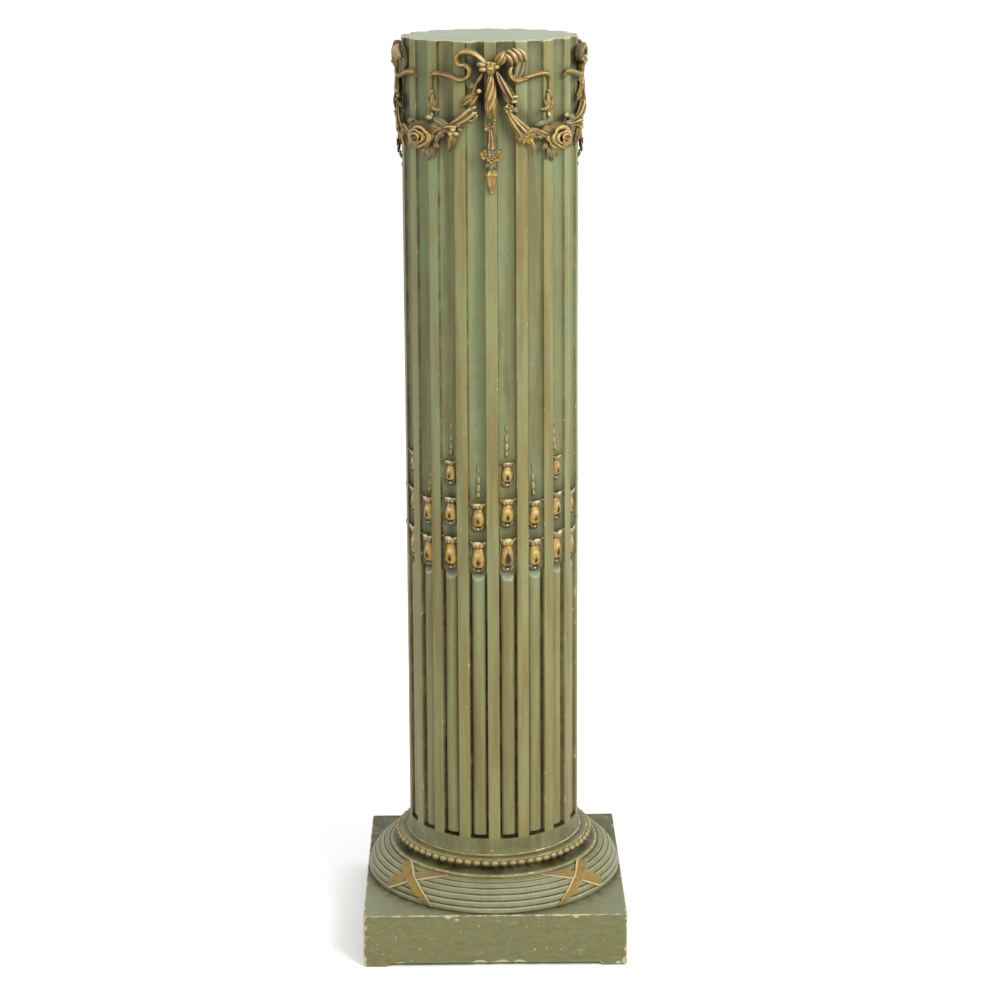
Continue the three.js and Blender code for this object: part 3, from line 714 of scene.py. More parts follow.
def base_part(sizes):
    """The profile turned round the axis, with an uneven hand-cut touch."""
    profile = base_profile(sizes)
    angle = np.linspace(0, 2 * np.pi, 432, endpoint=False)
    radius, height, edge, hollow = (profile[:, k : k + 1] for k in range(4))
    foot = BASE_BOX[0].z * MM
    rings = np.stack([radius * np.sin(angle), -radius * np.cos(angle), foot + height + 0 * angle], -1)
    shake = waves(rings, 40, 11) * 0.2 + waves(rings, 12, 12) * 0.07
    shake = shake * (radius > 100) * (height > 2) * (height < 58)
    out = np.stack([np.sin(angle), -np.cos(angle), 0 * angle], -1)
    rings = rings + out[None] * shake[..., None]
    # A painted highlight over the reeds, strongest on their upper lips.
    pale = (0.14 + 0.75 * np.clip(edge, 0, 1)) * (height < 35)
    return skin(rings, edge=edge, hollow=hollow, tone=0.55, pale=pale)


def crossed_part(sizes, turn, ends, bend, lift, tones, lip):
    """A ribbon over the cushion, blunt at one end and pointed at the other, between two places
    (angle from the front, angle from the cushion's crown) in degrees. Its half width is W * (1 -
    e^(-share / 0.035)) * (1 - share^2.3)^0.8, 16 % less near share 0.42, where the other ribbon
    crosses it, and one of its rims stands up as a lip with a painted highlight. Painted shade
    lies beside that lip and on its underside, and it is darker towards its ends."""
    rows, columns = 40, 13
    share = np.linspace(0, 1, rows)[:, None]
    x = np.sin(np.linspace(-np.pi / 2, np.pi / 2, columns))[None]
    half = sizes.ribbon_width * MM / 2 * (1 - np.exp(-share / 0.035)) * (1 - share**2.3) ** 0.8
    half = half * (1 - 0.16 * np.exp(-(((share - 0.42) / 0.1) ** 2)))
    rim = np.clip(2.8 * np.abs(x) - 1.6, 0, 1) * np.where(x * lip > 0, 1.0, 0.2)
    raised = lift + 1.3 * rim + 0.5 * (1 - x**2) + 0 * share
    start, end = np.radians(ends[0]), np.radians(ends[1])
    run = end - start
    long = np.hypot(run[0] * 150.0, run[1] * 40.0)
    around = turn + start[0] + share * run[0] - half * x * run[1] * 40.0 / long / 150.0
    down = start[1] + share * run[1] + half * x * run[0] * 150.0 / long / 40.0
    down = down + 4 * np.radians(bend) * share * (1 - share)
    down = np.clip(down, 0.25, 1.545)
    foot = BASE_BOX[0].z * MM

    def placed(above):
        radius, height = cushion_point(sizes, down, above)
        return np.stack([radius * np.sin(around), -radius * np.cos(around), foot + height], -1)

    upper, lower = placed(raised), placed(-3.0 + 0 * raised)
    rings = np.concatenate([upper, lower[:, ::-1]], axis=1)
    shape = upper.shape[:2]
    # Painted shade beside the raised lip and on the underside, darker towards the ends, and a painted
    # highlight on the lip.
    beside = np.clip(1 - 4 * np.abs(np.abs(x) - 0.62), 0, 1) * (x * lip > 0)
    hollow = np.broadcast_to(beside * 0.35, shape) + 0.35 * step(np.abs(share - 0.45), 0.3, 0.55)
    edge = np.broadcast_to(rim, shape)
    none = np.zeros(shape)
    tone = tones[0] + (tones[1] - tones[0]) * share + none
    return skin(
        rings, hollow=np.concatenate([hollow, none + 1], 1), edge=np.concatenate([edge, none], 1),
        tone=np.concatenate([tone, tone], 1), pale=np.concatenate([0.75 * edge**2, none], 1),
    )


def base_gilding(sizes):
    """The beads round the rim, no two quite alike, and the ribbons over the plinth's corners, two
    at each that cross: one comes down over the reeds and the other goes up."""
    rng = np.random.default_rng(5)
    foot = BASE_BOX[0].z * MM
    size = sizes.bead_radius * MM
    parts = []
    for k in range(sizes.beads):
        turn = 2 * np.pi * k / sizes.beads
        wide, tall = size * rng.uniform(0.92, 1.08), size * rng.uniform(0.92, 1.02)
        bead = ball((0, 0, 0), wide * 1.24, tall, size, tone=rng.uniform(0.52, 0.68))
        x, up, out = bead["points"].T
        out = out + BEAD_RING[0]
        bead["points"] = np.stack([
            x * np.cos(turn) + out * np.sin(turn), x * np.sin(turn) - out * np.cos(turn),
            foot + BEAD_RING[1] + up,
        ], -1)
        # Each bead is darker overall, with painted shade on its lower half and a painted highlight on its
        # top.
        low = np.clip(0.35 - up / tall, 0, 1)
        bead["hollow"] = np.clip(0.28 + bead["hollow"] + 0.9 * low, 0, 1)
        top = np.clip(up / tall, 0, 1) * np.clip(out - 123.5, 0, 1.5)
        bead["edge"] = np.clip(0.5 * top, 0, 1)
        bead["pale"] = np.clip(0.45 * top, 0, 0.6)
        parts.append(faced_out(bead))
    for side in (-1, 1):
        for end in (0, 180):
            mirror = -side if end else side
            for start, tip, bend, lift, tones, lip in (
                ((54, 19), (28.5, 88), 0, 1.9, (0.42, 0.5), mirror),
                ((58, 77), (24, 20), -9, 0.8, (0.62, 0.1), -mirror),
            ):
                ends = np.array([[mirror * start[0], start[1]], [mirror * tip[0], tip[1]]])
                parts.append(crossed_part(sizes, np.radians(end), ends, bend, lift, tones, lip))
    return gathered(parts)


# Shaft


def shaft_columns():
    """Offsets across one flute and its fillet in mm, closest together at the flute's edges."""
    flute = 11.5 * np.sin(np.linspace(-np.pi / 2, np.pi / 2, 17))
    cable = np.array([8.6, 9.3, 9.7])
    arris = np.array([11.75, 12.1, 12.7])
    fillet = np.array([14.2, 16.5])
    middle = np.array([np.pi * FLUTE_RADIUS / FLUTES])
    right = np.concatenate([cable, arris, fillet])
    return np.sort(np.concatenate([flute, right, -right, middle]))


def shaft_rows(high, cable):
    """Heights above the shaft's foot in mm, closest together where its outline changes: at the
    foot, at the slanted tops of the cables, behind the ornament and at the rim."""
    foot = [0.0, 0.5, 1.4, 2.8, 4.6, 8, 13, 18, 19.3, 19.75, 20.15, 20.8, 22, 22.9, 23.6, 24.6, 27]
    bevel = cable + np.array([-8, -4, -1.5, 0, 1, 2.2, 3.5, 5, 6.5, 8, 9.5, 11, 13])
    rim = high - np.array([10, 6, 3, 1.4, 0.7, 0.3, 0.05])
    middle = np.linspace(cable + 17, high - 160, 22)
    behind = np.linspace(high - 152, high - 14, 32)
    return np.concatenate([foot, np.linspace(34, 345, 20), bevel, middle, behind, rim])[:, None]


def flute_shape(x, rows, sizes):
    """What is cut away across a flute and up the shaft: the depth, the half ellipse of the open
    flute, the cable's flattened crest, the bevel that cuts its top off aslant, and the cable with
    that cut. In the band at the foot the depth is 0, and between band and cable it is a gap."""
    half, deep = sizes.flute_width * MM / 2, sizes.flute_depth * MM
    cable = sizes.cable_top * MM
    open_flute = deep * np.sqrt(np.clip(1 - (x / half) ** 2, 0, 1))
    body = np.clip(1 - (np.abs(x) / CABLE_HALF) ** 2.1, 0, 1)
    crest = 7.9 - 5.5 * np.sqrt(body) + 0.35 * (np.abs(x) >= CABLE_HALF)
    in_flute = step(half - np.abs(x), -0.06, 0.1)
    covered = crest * in_flute
    gap = 8.0 * in_flute
    bevel = np.clip(2.4 + (rows - cable) * (deep - 2.4) / 12.5, 0, deep) * in_flute
    cut = np.maximum(covered, np.where(rows > cable - 1, bevel, 0))
    closing = step(rows, cable + 7, cable + 13)
    lower = cut * (1 - closing) + open_flute * closing
    cable_start = step(rows, 22.6, 23.8)
    lower = np.where(rows < 25, gap * (1 - cable_start) + covered * cable_start, lower)
    return lower * step(rows, BAND_TOP, 20.3), open_flute, crest, bevel, cut


def shade_and_grime_near_ornament(angle, rows, high, narrow, depth):
    """How much painted shade and grime darken the shaft near the ornament: along each swag's curve,
    behind the drops, inside the bows' loops, beside and above them, and in the flutes just under
    the top."""
    quarter, down = np.pi / 2 * narrow, high - rows
    round_s = np.abs((angle * narrow) % quarter - quarter / 2)
    swag = high - 112 + 76 * (round_s / 83.0) ** 1.6
    behind = np.exp(-(((rows - swag + 3) / 12) ** 2)) + np.exp(-((round_s - 83.0) / 9.0) ** 2) * (
        rows > high - 150) * (rows < high - 30)
    off = (angle * narrow + quarter / 2) % quarter - quarter / 2
    # Painted shade inside the bows' loops, and beside and above them.
    in_left = np.exp(-(((off + 19) / 10) ** 2) - ((down - 29) / 10) ** 2)
    in_right = np.exp(-(((off - 15) / 7.5) ** 2) - ((down - 37) / 15) ** 2)
    beside = np.exp(-(((np.abs(off) - 10) / 5) ** 2) - ((down - 62) / 28) ** 2)
    above = np.exp(-(((np.abs(off) - 18) / 9) ** 2)) * (down < 60)
    # Painted shade in the flutes just under the top.
    under_top = np.exp(-((down / 9) ** 2)) * (depth > 1.5)
    near_bow = 1.1 * np.maximum(in_left, in_right) + 0.75 * beside + 0.3 * above
    return near_bow + 0.35 * under_top + 0.65 * np.clip(behind, 0, 1)


def shaft_marks(x, rows, angle, high, sizes):
    """The shaft's marks. Edges are rubbed and take a painted highlight along the flutes, at the rim,
    at the foot and round the cables' slanted tops. Painted shade and grime lie in the flutes, most
    in the gaps beside the cables, with a painted shadow in a line along each fillet, and near the
    ornament; the band at the foot is darker, and the rims of the cables' slanted tops take a
    painted highlight."""
    cable, deep = sizes.cable_top * MM, sizes.flute_depth * MM
    depth, open_flute, crest, bevel, cut = flute_shape(x, rows, sizes)
    fluted = step(rows, BAND_TOP, 20.3)
    edge = 0.5 * np.exp(-((np.abs(x) - 11.9) / 0.75) ** 2) * fluted
    edge = edge + 1.6 * np.exp(-((high - rows) / 1.5) ** 2) + 0.3 * np.exp(-((rows - 4.0) / 2.0) ** 2)
    lip = np.exp(-(((bevel - crest) / 0.6) ** 2)) * (rows > cable - 1) * (rows < cable + 9)
    edge = np.maximum(edge, 0.8 * lip * (np.abs(x) < 9.4))

    # A painted shadow in a line beside each fillet, darker on the flute's left side.
    line = np.exp(-(((np.abs(x) - 11.1) / 0.55) ** 2)) * np.where(x < 0, 0.95, 0.55) * fluted
    # Painted shade in the gaps beside the cables and at their square feet, darker deeper in the flutes,
    # inside the slanted cable tops and behind the pods.
    in_gap = (rows > 20) & (rows < cable + 7) & (np.abs(x) > 9.2) & (np.abs(x) < 11.4)
    square_end = (rows > 19.6) & (rows < 23.4) & (np.abs(x) < 11.6)
    hollow = np.where(in_gap | square_end, 1.25, 0.22 * np.clip(depth / deep, 0, 1) + line)
    bevelled = (rows > cable + 0.5) & (rows < cable + 11) & (cut <= bevel + 0.01) & (np.abs(x) < 9)
    by_pods = (rows > cable + 10) & (rows < cable + 125) & (np.abs(x) < 11.6)
    hollow = hollow + shade_and_grime_near_ornament(angle, rows, high, sizes.top_radius * MM, depth)
    hollow = hollow + 0.5 * bevelled * step(rows, cable + 3, cable + 9) + 0.3 * by_pods
    # The band at the foot is darker.
    hollow = hollow + 0.42 * (rows < BAND_TOP)

    on_cable = (rows > 22) & (rows <= cable + 0.5) & (np.abs(x) < CABLE_HALF)
    tone = np.where(on_cable, 0.3, step(open_flute * fluted, 1.5, 4.0))
    tone = np.where(rows < BAND_TOP, 0.7, tone)
    # A painted highlight along the rims of the cables' slanted tops.
    bevel_rim_highlight = np.exp(-(((bevel - crest) / 1.2) ** 2))
    pale = np.where(bevelled, 0.12 + 0.88 * bevel_rim_highlight, 0.0)
    return {"edge": edge, "hollow": hollow, "tone": tone, "pale": pale}


def shaft_part(sizes):
    """Rows of radius = taper - depth, with a small flare at the foot and a worn rim. The top is
    closed by the same outline drawn inwards, and the underside is flat."""
    high = (SHAFT_BOX[1].z - SHAFT_BOX[0].z) * MM
    full, narrow = sizes.foot_radius * MM, sizes.top_radius * MM
    half = sizes.flute_width * MM / 2
    columns = shaft_columns()
    pitch = 2 * np.pi / FLUTES
    centre = np.repeat((np.arange(FLUTES) + 0.5) * pitch, len(columns))
    x = np.tile(columns, FLUTES)[None]
    angle = centre + x[0] / FLUTE_RADIUS
    rows = shaft_rows(high, sizes.cable_top * MM)
    depth = flute_shape(x, rows, sizes)[0]
    taper = full + (narrow - full) * rows / high
    flare = 1.8 * np.clip(1 - rows / 5, 0, 1) ** 1.6
    worn = 0.9 * np.clip(1 - (high - rows) / 1.5, 0, 1) ** 2
    rounding = 0.3 * np.exp(-np.clip(np.abs(x) - half, 0, 9) / 0.5) * (np.abs(x) >= half)
    radius = taper + flare - depth - worn - rounding * step(rows, BAND_TOP, 20.3)
    rings = np.stack([radius * np.sin(angle), -radius * np.cos(angle), rows + 0 * angle], -1)
    shake = 0.17 * waves(rings / [1, 1, 3.0], 60, 31) + 0.06 * waves(rings / [1, 1, 2.0], 16, 32)
    out = np.stack([np.sin(angle), -np.cos(angle), 0 * angle], -1)
    shake = np.where((rows > 6) & (rows < high - 3), shake, 0)
    rings = rings + out[None] * shake[..., None]
    nibble = np.clip(waves(rings, 9, 33) - 0.25, 0, 1) * (rows > high - 2)
    rings[..., 2] -= 0.9 * nibble

    lid_share = np.array([0.992, 0.975, 0.94, 0.86, 0.7, 0.5, 0.3, 0.12, 0.0])[:, None, None]
    lid = rings[-1:] * lid_share
    lid[..., 2] = high - 0.05 * (1 - nibble[-1]) - 0.9 * nibble[-1] * (lid_share[..., 0] > 0.95)
    under = rings[:1] * np.array([0.0, 0.5, 0.9])[:, None, None]
    under[..., 2] = 0
    whole = np.concatenate([under, rings, lid])
    whole[..., 2] += SHAFT_BOX[0].z * MM
    marks = shaft_marks(x, rows, angle, high, sizes)
    # The lid takes painted light: lighter paint all over the top and a rubbed rim.
    on_lid = {"edge": [1.4, 0.5, 0.0], "hollow": [0.0], "tone": [1.0], "pale": [0.5, 0.9, 1.0]}
    for name, values in on_lid.items():
        cap = np.full((len(lid), x.size), values[-1])
        cap[: len(values)] = np.array(values)[:, None]
        body = np.broadcast_to(marks[name], rings.shape[:2])
        marks[name] = np.concatenate([np.zeros((len(under), x.size)), body, cap])
    return skin(whole, **marks)


def pod_body(low, length, wide, deep, seat, tone):
    """A seed pod, x across its flute, z up and out from the flute's floor. Its half width follows
    an egg's outline, and out is deep * outline^0.7 * cos(turn)^0.75. A drop-shaped seat is pressed
    into its front below the middle: 2.6 * exp(-1.5 * ((x / width)^2 + (rise / reach)^2))."""
    share = np.concatenate([[0, 0.02, 0.05], np.linspace(0.09, 0.6, 15), [0.67, 0.75, 0.83, 0.9, 0.96, 1]])
    share = share[:, None]
    outline = np.interp(share, [0, 0.02, 0.07, 0.16, 0.3, 0.45, 0.62, 0.8, 0.93, 1],
                        [0, 0.42, 0.74, 0.92, 1, 0.98, 0.89, 0.76, 0.64, 0.45])
    even = np.linspace(-np.pi, np.pi, 24, endpoint=False)[None]
    turn = even - 0.5 * np.sin(even)
    front = np.cos(turn) > 0
    x = wide / 2 * outline * np.sin(turn)
    out = np.where(front, deep * outline**0.7, 1.5 * outline) * np.sign(np.cos(turn))
    out = out * np.abs(np.cos(turn)) ** 0.75
    z = low + length * share + 0 * turn
    middle = low + 0.27 * length
    above = z > middle
    reach = np.where(above, 0.2, 0.1) * length * seat
    seat_width = 0.105 * wide * seat * np.where(above, np.clip(1 - (z - middle) / reach * 0.5, 0.3, 1), 1)
    pressed = np.exp(-((x / seat_width) ** 2 + ((z - middle) / reach) ** 2)) * front
    crease = 0.4 * np.exp(-((x / 1.0) ** 2)) * (share > 0.45) * np.sin(np.pi * share) * front
    out = out - 2.6 * pressed**1.5 - crease
    # A painted highlight high on the pod's front, painted shade on its sides and at its foot, and the seat
    # darker still.
    gleam = np.exp(-(((share - 0.66) / 0.12) ** 2)) * np.exp(-((turn / 0.5) ** 2))
    shade = np.clip(0.6 - np.cos(turn), 0, 1) + np.clip(1 - share / 0.1, 0, 1)
    hollow = np.clip(1.8 * pressed + shade, 0, 1.3)
    return skin(np.stack([x, z, out], -1), edge=0.8 * gleam, pale=0.35 * gleam, hollow=hollow, tone=tone)


def pod_crown(low, high, wide, deep, tone):
    """The crown on a pod: ten small lumps round it, and above them tips, where |cos(2.5 * turn)| is
    greatest. It widens from the neck to 11.7 mm as rise^2.4, and at the front the tips curl out
    over the flute's edges."""
    rise = np.linspace(0, 1, 9)[:, None]
    turn = np.linspace(-np.pi, np.pi, 40, endpoint=False)[None]
    tip = np.abs(np.cos(2.5 * turn)) ** 0.9
    lump = 0.5 + 0.5 * np.cos(10 * turn)
    neck = 0.34 * wide
    flare = neck + 0.12 * wide * np.sin(np.pi * rise**0.8) * (0.4 + 0.6 * lump)
    flare = flare + (11.7 - neck) * rise**2.4 * (0.3 + 0.7 * tip)
    tall = high * rise * (0.66 + 0.34 * tip) - 2.6 * rise**4 * tip
    inner = np.array([0.8, 0.5, 0.0])[:, None]
    radius = np.concatenate([flare, flare[-1:] * inner])
    height = np.concatenate([tall, tall[-1:] - 2.0 * (1 - inner)])
    radius[0] = 0.0
    facing = np.cos(turn)
    bowl = np.where(facing > 0, np.minimum(radius * 0.95, deep + 0.6), radius * 0.1) * facing
    curl = np.where(facing > 0, (deep + 1.2) * np.sqrt(np.clip(3 * facing, 0, 1)), bowl)
    out = bowl + (curl - bowl) * np.concatenate([rise**2, inner])
    rings = np.stack([radius * np.sin(turn), low + height, out], -1)
    swell = np.sin(np.pi * rise)
    # A painted highlight on the tips and lumps, and painted shade between the lumps, on the side away from
    # the front and inside the crown.
    edge = np.clip(rise * 3 - 1.3, 0, 1) * np.clip(2 * tip - 0.5, 0, 1)
    edge = np.concatenate([edge + 0.4 * lump * swell, 0.4 * tip + 0 * inner])
    hollow = (1 - lump) * 0.6 * swell + np.clip(0.3 - np.cos(turn), 0, 1)
    hollow = np.concatenate([hollow, 1 + 0 * inner + 0 * turn])
    hollow = np.clip(hollow, 0, 1) * (1 - np.clip(edge, 0, 1))
    lit = np.concatenate([0.25 * lump * swell, 0 * inner + 0 * turn])
    pale = np.maximum(0.95 * np.clip(edge, 0, 1), lit)
    return skin(rings, edge=edge, pale=pale, hollow=hollow, tone=tone)


def spindle(low, length, wide, deep, tone, dull):
    """A slim upright bud or stem: half width wide / 2 * sin(pi * share^0.7). It is paler and less
    shiny the duller it is."""
    share = np.linspace(0, 1, 12)[:, None]
    turn = np.linspace(-np.pi, np.pi, 10, endpoint=False)[None]
    swell = np.sin(np.pi * share**0.7)
    out = np.where(np.cos(turn) > 0, deep, 1.0) * swell * np.cos(turn)
    rings = np.stack([wide / 2 * swell * np.sin(turn), low + length * share + 0 * turn, out], -1)
    # Painted shade on the sides and back, a painted highlight down the front that weakens the duller it is,
    # and lighter fading the duller it is.
    return skin(rings, hollow=np.clip(0.4 - np.cos(turn), 0, 1) * (1.2 - dull) + 0.1 + 0 * share,
                edge=np.clip(np.cos(turn) - 0.7, 0, 1) * 2 * (1 - dull) + 0 * share, tone=tone,
                pale=0.12 * dull)


def calyx(low, wide, deep):
    """What a pod stands on: two leaves that curl up round its foot, and a bead between them."""
    leaves = [
        leaf((side * 0.5, low - 6.0), (side * wide * 0.5, low + 3.4), 4.6, rise=deep * 0.5, lift=1.0,
             thick=1.4, tone=0.95)
        for side in (-1, 1)
    ]
    # The leaves are darkened further as painted shade.
    for one in leaves:
        one["hollow"] = np.clip(one["hollow"] + 0.35, 0, 1)
    return [*leaves, ball((0, low - 2.6, deep * 0.45), 1.9, 1.7, 1.6, tone=0.9)]


def pods_part(sizes):
    """Rows of seed pods in every flute, three and two in turn, each in a calyx, with a faded bud
    and stem on top. A pod's row gives its height above the shaft's foot, length and width, and a
    bud's row its height above the last pod, length, width, depth, tone and dullness."""
    rng = np.random.default_rng(8)
    full, narrow = sizes.foot_radius * MM, sizes.top_radius * MM
    high = (SHAFT_BOX[1].z - SHAFT_BOX[0].z) * MM
    deep = sizes.flute_depth * MM
    wide = sizes.pod_width * MM
    three = ((375.2, 39.4, wide), (431, 33.5, wide * 0.95), (482, 28.5, wide * 0.82))
    two = ((373.1, 37.6, wide), (426.1, 33.2, wide * 0.93))
    stem = ((2, 10, 6.4, 3.6, 0.45, 0.3), (9, 13, 8.4, 2.8, 1.0, 0.7), (20, 12, 7.6, 2.2, 0.95, 0.9),
            (33, 13, 5.6, 1.7, 0.9, 1.0))
    parts = []
    for k in range(FLUTES):
        pods = two if k % 2 else three
        flute = []
        for low, length, width in pods:
            depth = (deep - 0.9) * (0.7 + 0.3 * width / wide)
            seat = 2.0 if k == 0 and low < 400 else rng.uniform(0.85, 1.15)
            body = 0.72 * length
            flute.append(pod_body(low, body, width, depth, seat, rng.uniform(0.4, 0.56)))
            crown_foot, crown_high = low + 0.94 * body, 0.34 * length
            flute.append(pod_crown(crown_foot, crown_high, width, depth, rng.uniform(0.15, 0.4)))
            flute += calyx(low, width, depth)
        last = pods[-1][0] + pods[-1][1]
        flute += [spindle(last + above, *others) for above, *others in stem]
        for part in flute:
            across, z, out = part["points"].T
            turn = (k + 0.5) * 2 * np.pi / FLUTES + across / FLUTE_RADIUS
            radius = full + (narrow - full) * z / high - deep + 0.2 + out
            part["points"] = np.stack([
                radius * np.sin(turn), -radius * np.cos(turn), z + SHAFT_BOX[0].z * MM
            ], -1)
            parts.append(faced_out(part))
    return gathered(parts)


# Bows


def bow_loop_left(sizes):
    """The left loop: it arches out of the knot, comes down and rolls in under itself."""
    wide = sizes.ribbon_proud * MM / 2
    stand = wide + 0.6
    thick = sizes.ribbon_thickness * MM
    return ribbon([
        (-2, -29, stand - 1, wide * 0.8, 62), (-8, -23, stand, wide * 1.1, 60),
        (-17, -14.5, stand + 0.6, wide * 1.15, 68), (-27, -11.5, stand + 0.8, wide * 1.15, 76),
        (-35, -14.5, stand + 0.4, wide * 1.1, 84),
        (-38, -21.5, stand - 0.4, wide, 88), (-34.5, -27, stand - 0.8, wide * 0.95, 90),
        (-28.5, -27, stand - 0.8, wide * 0.9, 90), (-23.6, -32, stand - 0.8, wide * 0.9, 90),
        (-25, -40, stand - 1, wide * 0.9, 88), (-31.5, -43.6, stand - 1, wide * 0.85, 86),
        (-39, -42.8, stand - 1.6, wide * 0.7, 84), (-47, -40.6, stand - 2.2, wide * 0.5, 75),
    ], rows=84, thick=np.array([1.1, 1.4, 1.35, 1.1, 0.9, 0.95, 1.0, 1.25, 1.2]) * thick,
        ribs=3, rib=0.4, tone=0.7)


def bow_loop_right(sizes):
    """The right loop: a flat lobe beside the knot, four gathered folds over the top, the broad
    inner face of the ribbon behind them, and a hook from which the tail runs on."""
    wide = sizes.ribbon_proud * MM / 2
    stand = wide + 0.6
    thick = sizes.ribbon_thickness * MM
    folds = []
    for k, (start, end) in enumerate((
        ((14.5, -14.0), (22.5, -25.0)), ((18.5, -10.0), (28.5, -23.0)), ((24.0, -8.2), (33.6, -21.0)),
        ((29.6, -8.6), (38.8, -20.5)),
    )):
        middle = ((start[0] + end[0]) / 2 + 0.8, (start[1] + end[1]) / 2 + 1.2)
        fold = swept([
            (*start, 4.4, 1.4, 2.0), (*middle, 9.0 - 0.4 * k, 3.5, 3.6), (*end, 6.6, 2.7, 3.0),
            (end[0] + 1.2, end[1] - 3.2, 4.0, 0.6, 1.0),
        ], rows=16, columns=14, lobes=3, groove=0.1, tone=(0.22, 0.42, 0.28, 0.36)[k])
        # A painted highlight on the folds' crests.
        fold["pale"] = fold["pale"] + 0.4 * fold["edge"]
        folds.append(fold)
    lobe = leaf((6.4, -27.0), (16.0, -10.8), 13.0, rise=5.0, fold=0.05, lift=5.0, thick=3.4, tone=0.5)
    back = ribbon([
        (15, -17, stand - 3, wide * 0.9, 40), (22, -13.5, stand - 2, wide, 45),
        (30, -13, stand - 1.8, wide, 46), (36.0, -19, stand - 2.2, wide * 1.1, 36),
        (36.4, -27, stand - 3.2, wide * 1.35, 20), (34.0, -34.5, stand - 3.4, wide * 1.4, 12),
        (30.4, -41, stand - 3.0, wide * 1.0, 20), (26.0, -43.6, stand - 2.2, wide * 0.5, 60),
    ], rows=64, thick=(0.7 * thick,), ribs=2, rib=0.45, across=4.0, tone=0.9)
    hook = ribbon([
        (24.6, -28.5, stand - 1.0, wide * 0.4, 84), (21.8, -33.5, stand - 0.4, wide * 0.7, 84),
        (22.8, -40.0, stand - 0.4, wide * 0.85, 84), (28.0, -44.6, stand - 1, wide * 0.85, 82),
        (35, -44.2, stand - 1.6, wide * 0.75, 80), (43, -42.0, stand - 2.2, wide * 0.6, 76),
        (50, -39.6, stand - 2.6, wide * 0.4, 70),
    ], rows=48, thick=np.array([0.7, 0.9, 1.0, 1.2, 1.15]) * thick, ribs=3, rib=0.4, tone=0.5)
    return [*folds, lobe, back, hook]


def on_side(side, rows):
    """Rows whose first number is a distance to the right, on the side given, 1 or -1."""
    return [(side * right, *others) for right, *others in rows]


def broken_tail(side):
    """A tail whose end is lost: it stops in a split stump before the second fillet."""
    stump = swept(on_side(side, [
        (33, -43.0, 4.0, 1.4, 2.0), (41, -41.8, 4.2, 3.3, 3.6), (50, -39.8, 3.8, 3.9, 3.7),
        (58, -38.4, 3.4, 4.0, 3.6), (64.5, -38.6, 2.8, 3.4, 3.0), (66.4, -39.4, 2.2, 1.6, 1.8),
    ]), rows=36, columns=14, lobes=4, groove=0.2, tone=0.42)
    splinters = [
        leaf((side * 62, -35.6), (side * 70, -44.6), 3.4, rise=2.2, thick=1.6, tone=0.7),
        leaf((side * 61, -39.4), (side * 67.4, -46.4), 3.2, rise=2.0, thick=1.6, tone=0.9),
    ]
    return [stump, *splinters]


def bow_tail(side):
    """A rounded tail that runs out to the second fillet, turns down it and ends in a bud between
    two leaves."""
    tail = swept(on_side(side, [
        (33, -43.0, 4.0, 1.4, 2.0), (41, -41.8, 4.2, 3.3, 3.6), (50, -39.8, 3.8, 3.7, 3.7),
        (60, -38.2, 3.2, 3.6, 3.4), (68.5, -38.4, 2.8, 3.4, 3.2), (73.6, -42.2, 2.6, 3.2, 2.8),
        (74.6, -50, 1.8, 2.6, 1.9), (74.4, -62, 1.4, 2.3, 1.6), (73.6, -72, 1.2, 1.9, 1.3),
        (71, -79, 1.2, 0.9, 0.9),
    ]), rows=60, columns=14, lobes=4, groove=0.16, tone=0.32)
    bud = swept(on_side(side, [
        (73, -74, 1.5, 0.8, 1.0), (69.5, -77, 3.0, 2.8, 2.6), (65.5, -79.6, 3.8, 3.4, 3.0),
        (61.5, -79.8, 3.4, 2.2, 2.0), (58.6, -78.6, 2.6, 0.5, 0.5),
    ]), rows=16, columns=12, lobes=4, groove=0.15, tone=0.15)
    leaves = [
        leaf((side * 72, -86), (side * 71, -60), 7.2, rise=3.4, tone=0.5),
        leaf((side * 72.5, -86), (side * 79.5, -66), 6.4, rise=2.6, tone=0.6),
        leaf((side * 71, -84), (side * 66.5, -68), 4.6, rise=2.2, tone=0.7),
    ]
    drop = swept(on_side(side, [
        (72, -83, 1.6, 0.7, 1.0), (72.6, -87.5, 2.4, 2.3, 2.2), (72.6, -92, 1.0, 0.5, 0.6),
    ]), rows=10, columns=10, tone=0.35)
    tip = ball((side * 71, -58.6, 3.4), 1.5, 1.6, 1.5, tone=0.95)
    return [tail, bud, drop, tip, *leaves]


def knot_parts():
    """The knot: a wrapped band with two creases between folded lobes."""
    return [
        swept([(0.5, -23.2, 5.5, 1.0, 1.4), (0.3, -25.4, 7.0, 4.8, 4.2), (0.2, -29, 7.0, 5.6, 4.6),
               (0.2, -33.5, 6.2, 5.0, 4.2), (0.3, -37.5, 4.6, 3.8, 3.4), (0.4, -41, 3.6, 2.0, 2.4)],
              rows=20, columns=18, lobes=6, groove=0.16, tone=0.5),
        ball((-9.2, -25.4, 6.4), 6.2, 4.4, 4.4, grooves=3, tone=0.08),
        ball((-8.2, -31.8, 5.4), 5.0, 3.6, 3.8, grooves=3, tone=0.16),
        ball((7.0, -28.6, 5.0), 3.6, 3.4, 3.0, grooves=4, tone=0.4),
        ball((-2.4, -24.0, 9.4), 3.4, 1.8, 2.4, tone=0.74),
        ball((3.2, -25.0, 9.2), 3.2, 1.8, 2.4, tone=0.6),
        ball((0.6, -30.6, 10.0), 3.6, 2.2, 2.2, grooves=3, tone=0.55),
    ]


